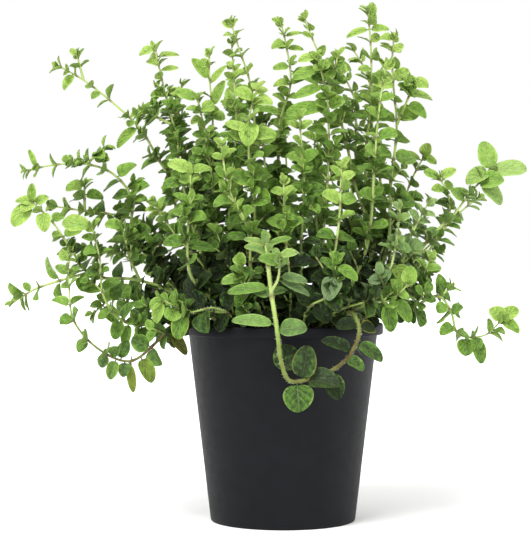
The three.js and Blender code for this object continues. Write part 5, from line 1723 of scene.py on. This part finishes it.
def pot_profile():
    """The pot's wall from the middle of its underside round the rim to the middle of its floor."""
    foot = POT_FOOT_RADIUS
    lip = POT_HEIGHT - POT_RIM_DEPTH
    shoulder = mix(foot, POT_TOP_RADIUS, lip / POT_HEIGHT)
    inner_top = POT_TOP_RADIUS - POT_WALL
    inner_foot = wall_inside(POT_FLOOR)
    return [
        (2, POT_RECESS),
        (foot - 5.2, POT_RECESS),
        (foot - 4.6, POT_RECESS - 0.5),
        (foot - 4.4, 0.4),
        (foot - 4.0, 0),
        (foot - 0.8, 0),
        (foot - 0.2, 0.3),
        (mix(foot, shoulder, 0.01), 1.2),
        (mix(foot, shoulder, 0.5), lip * 0.5),
        (shoulder - 0.1, lip - 1.0),
        (shoulder + 0.2, lip - 0.2),
        (shoulder + 0.9, lip),
        (POT_RIM_RADIUS - 0.8, lip + 0.1),
        (POT_RIM_RADIUS - 0.2, lip + 0.5),
        (POT_RIM_RADIUS, lip + 1.2),
        (POT_RIM_RADIUS, POT_HEIGHT - 1.2),
        (POT_RIM_RADIUS - 0.3, POT_HEIGHT - 0.4),
        (POT_RIM_RADIUS - 0.9, POT_HEIGHT),
        (inner_top + 0.7, POT_HEIGHT),
        (inner_top + 0.2, POT_HEIGHT - 0.4),
        (inner_top, POT_HEIGHT - 1.2),
        (inner_foot, POT_FLOOR + 0.6),
        (inner_foot - 0.6, POT_FLOOR),
        (2, POT_FLOOR),
    ]


class OREGANO_OT_pot(Operator):
    """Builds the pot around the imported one"""

    bl_idname = "oregano.pot"
    bl_label = "Pot"

    def execute(self, context):
        settings = context.scene.oregano_pot
        points, faces = revolve(pot_profile(), settings.sides)
        pot = mesh_piece("nursery_pot", points, faces, pot_material(settings), POT_SHARP)
        for k in range(DRAIN_HOLES):
            turn = 2 * math.pi * k / DRAIN_HOLES
            across, along = DRAIN_CIRCLE * MM * math.cos(turn), DRAIN_CIRCLE * MM * math.sin(turn)
            bpy.ops.mesh.primitive_cylinder_add(
                vertices=DRAIN_SIDES,
                radius=DRAIN_RADIUS * MM,
                depth=3 * POT_FLOOR * MM,
                location=(across, along, POT_FLOOR * MM / 2),
            )
            cutter = context.active_object
            cut = pot.modifiers.new("drain", "BOOLEAN")
            cut.object = cutter
            cut.operation = "DIFFERENCE"
            cut.solver = "EXACT"
            with context.temp_override(object=pot):
                bpy.ops.object.modifier_apply(modifier=cut.name)
            bpy.data.objects.remove(cutter)
        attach(pot, BODY)
        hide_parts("pot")
        return {"FINISHED"}


def heaped(x, y):
    """How far the peat's gentle heap stands above its level at a place."""
    return SOIL_RISE * math.sin(x / SOIL_WAVES[0]) * math.cos(y / SOIL_WAVES[1])


class OREGANO_OT_soil(Operator):
    """Fills the pot with peat and its loose crumbs"""

    bl_idname = "oregano.soil"
    bl_label = "Peat"

    def execute(self, context):
        settings = context.scene.oregano_soil
        draw = make_draw(SOIL_SEED)
        outer, low = wall_inside(SOIL_TOP) - SOIL_GAP, wall_inside(SOIL_LOW) - SOIL_GAP
        profile = [(1, SOIL_LOW), (low, SOIL_LOW), (outer, SOIL_TOP - 1)]
        profile += [(outer * share, SOIL_TOP) for share in np.linspace(0.985, 0.02, SOIL_RINGS)]
        points, faces = revolve(profile, SOIL_SIDES)
        for i in np.flatnonzero(points[:, 2] > SOIL_TOP - 2):
            x, y, _ = points[i]
            lumps = turbulence(Vector((x, y, 0)) / LUMP_SPACING, LUMP_OCTAVES, False) * LUMP_DEPTH
            points[i, 2] += heaped(x, y) + lumps - LUMP_SINK
        all_points, count = [points], len(points)
        for _ in range(settings.crumbs):
            out, turn = outer * math.sqrt(draw()) * CRUMB_REACH, draw() * 2 * math.pi
            x, y = out * math.cos(turn), out * math.sin(turn)
            centre = (x, y, SOIL_TOP + heaped(x, y) + CRUMB_RAISE)
            lump, lump_faces = crumb(centre, mix(*CRUMB_RADII, draw() ** 2), draw)
            faces += [tuple(i + count for i in face) for face in lump_faces]
            all_points.append(lump)
            count += len(lump)
        soil = mesh_piece("peat", np.concatenate(all_points), faces, peat_material(settings), SOIL_SHARP)
        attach(soil, BODY)
        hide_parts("soil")
        return {"FINISHED"}


def crumb(centre, radius, draw):
    """A small uneven lump: an octahedron with each face's middle pushed out."""
    corners = np.array([(1, 0, 0), (-1, 0, 0), (0, 1, 0), (0, -1, 0), (0, 0, 1), (0, 0, -1)], float)
    corners *= np.array([[radius * mix(*CRUMB_CORNERS, draw())] for _ in corners])
    faces = [(0, 2, 4), (2, 1, 4), (1, 3, 4), (3, 0, 4), (2, 0, 5), (1, 2, 5), (3, 1, 5), (0, 3, 5)]
    points, out = list(corners), []
    for a, b, c in faces:
        m = len(points)
        points.append((corners[a] + corners[b] + corners[c]) / 3 * mix(*CRUMB_BULGES, draw()))
        out += [(a, b, m), (b, c, m), (c, a, m)]
    return np.array(points) + np.array(centre), out


class OREGANO_OT_sprays(Operator):
    """Grows every leafy spray where its solid stands"""

    bl_idname = "oregano.sprays"
    bl_label = "Leafy sprays"

    def execute(self, context):
        leaf, stem = context.scene.oregano_leaf, context.scene.oregano_stem
        # In the order that UPPER, UNDER, BARK and DOWN give.
        materials = [
            leaf_material("leaf_blade_matt", leaf, False),
            leaf_material("leaf_underside_downy", leaf, True),
            stem_material(stem),
            hair_material(stem),
        ]
        stems, leaves, grid = grow_plant()
        stems += grow_small(stems, leaves, grid)
        shade = shade_finder(leaves)
        for index, spray in enumerate(SPRAYS):
            piece = spray_skin(index, stems, leaves[index], shade).make(spray["name"] + "_spray", materials)
            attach(piece, BODY)
            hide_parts(spray["name"])
        return {"FINISHED"}


class OREGANO_OT_stage(Operator):
    """Sets the floor, the lights and the camera"""

    bl_idname = "oregano.stage"
    bl_label = "Stage"

    def execute(self, context):
        settings = context.scene.oregano_stage
        bpy.ops.mesh.primitive_circle_add(vertices=FLOOR_SIDES, radius=FLOOR_RADIUS, fill_type="NGON")
        floor = context.active_object
        floor.name = "floor"
        floor.data.materials.append(stage_material(settings))
        floor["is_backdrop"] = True
        world = bpy.data.worlds.new("studio")
        context.scene.world = world
        world.use_nodes = True
        sky = world.node_tree.nodes["Background"].inputs
        sky["Color"].default_value = (1, 1, 1, 1)
        sky["Strength"].default_value = settings.sky
        for name, place, softness, share in LAMPS:
            lamp = bpy.data.lights.new(name, "SUN")
            lamp.angle = math.radians(softness)
            lamp.energy = settings.key * share
            held = bpy.data.objects.new(name, lamp)
            held.location = place
            held.rotation_euler = (Vector(LAMP_AIM) - Vector(place)).to_track_quat("-Z", "Y").to_euler()
            context.scene.collection.objects.link(held)
        camera = bpy.data.cameras.new("camera")
        camera.sensor_width = SENSOR
        camera.lens = SENSOR * settings.distance / FRAME_HEIGHT
        view = bpy.data.objects.new("camera", camera)
        view.location = (CAMERA_ASIDE, -settings.distance, CAMERA_HEIGHT)
        aim = Vector((CAMERA_ASIDE, 0, FRAME_MIDDLE))
        view.rotation_euler = (aim - view.location).to_track_quat("-Z", "Y").to_euler()
        context.scene.collection.objects.link(view)
        context.scene.camera = view
        context.scene.view_settings.view_transform = "Standard"
        return {"FINISHED"}


class OREGANO_PT_panel(Panel):
    """Lists the settings and the pieces"""

    bl_idname = "OREGANO_PT_panel"
    bl_label = "Oregano"
    bl_space_type = "VIEW_3D"
    bl_region_type = "UI"
    bl_category = "Oregano"

    def draw(self, context):
        for step, groups in STEPS:
            box = self.layout.box()
            box.operator(step.bl_idname)
            for group in groups:
                for name in GROUPS[group].__annotations__:
                    box.prop(getattr(context.scene, group), name)


GROUPS = {
    "oregano_pot": OreganoPotSettings,
    "oregano_soil": OreganoSoilSettings,
    "oregano_leaf": OreganoLeafSettings,
    "oregano_stem": OreganoStemSettings,
    "oregano_stage": OreganoStageSettings,
}
# Each operator with the settings that it reads.
STEPS = (
    (OREGANO_OT_pot, ["oregano_pot"]),
    (OREGANO_OT_soil, ["oregano_soil"]),
    (OREGANO_OT_sprays, ["oregano_leaf", "oregano_stem"]),
    (OREGANO_OT_stage, ["oregano_stage"]),
)
KINDS = [*(step for step, _ in STEPS), OREGANO_PT_panel]


def register():
    for name, group in GROUPS.items():
        bpy.utils.register_class(group)
        setattr(bpy.types.Scene, name, PointerProperty(type=group))
    for kind in KINDS:
        bpy.utils.register_class(kind)


def unregister():
    for kind in reversed(KINDS):
        bpy.utils.unregister_class(kind)
    for name, group in reversed(GROUPS.items()):
        delattr(bpy.types.Scene, name)
        bpy.utils.unregister_class(group)


def main():
    register()
    bpy.ops.oregano.pot()
    bpy.ops.oregano.soil()
    bpy.ops.oregano.sprays()
    bpy.ops.oregano.stage()
    boxes = {"cad": CAD_BOX, "visual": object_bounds()}
    plain = {name: [list(map(float, corner)) for corner in corners] for name, corners in boxes.items()}


if __name__ == "__main__":
    main()
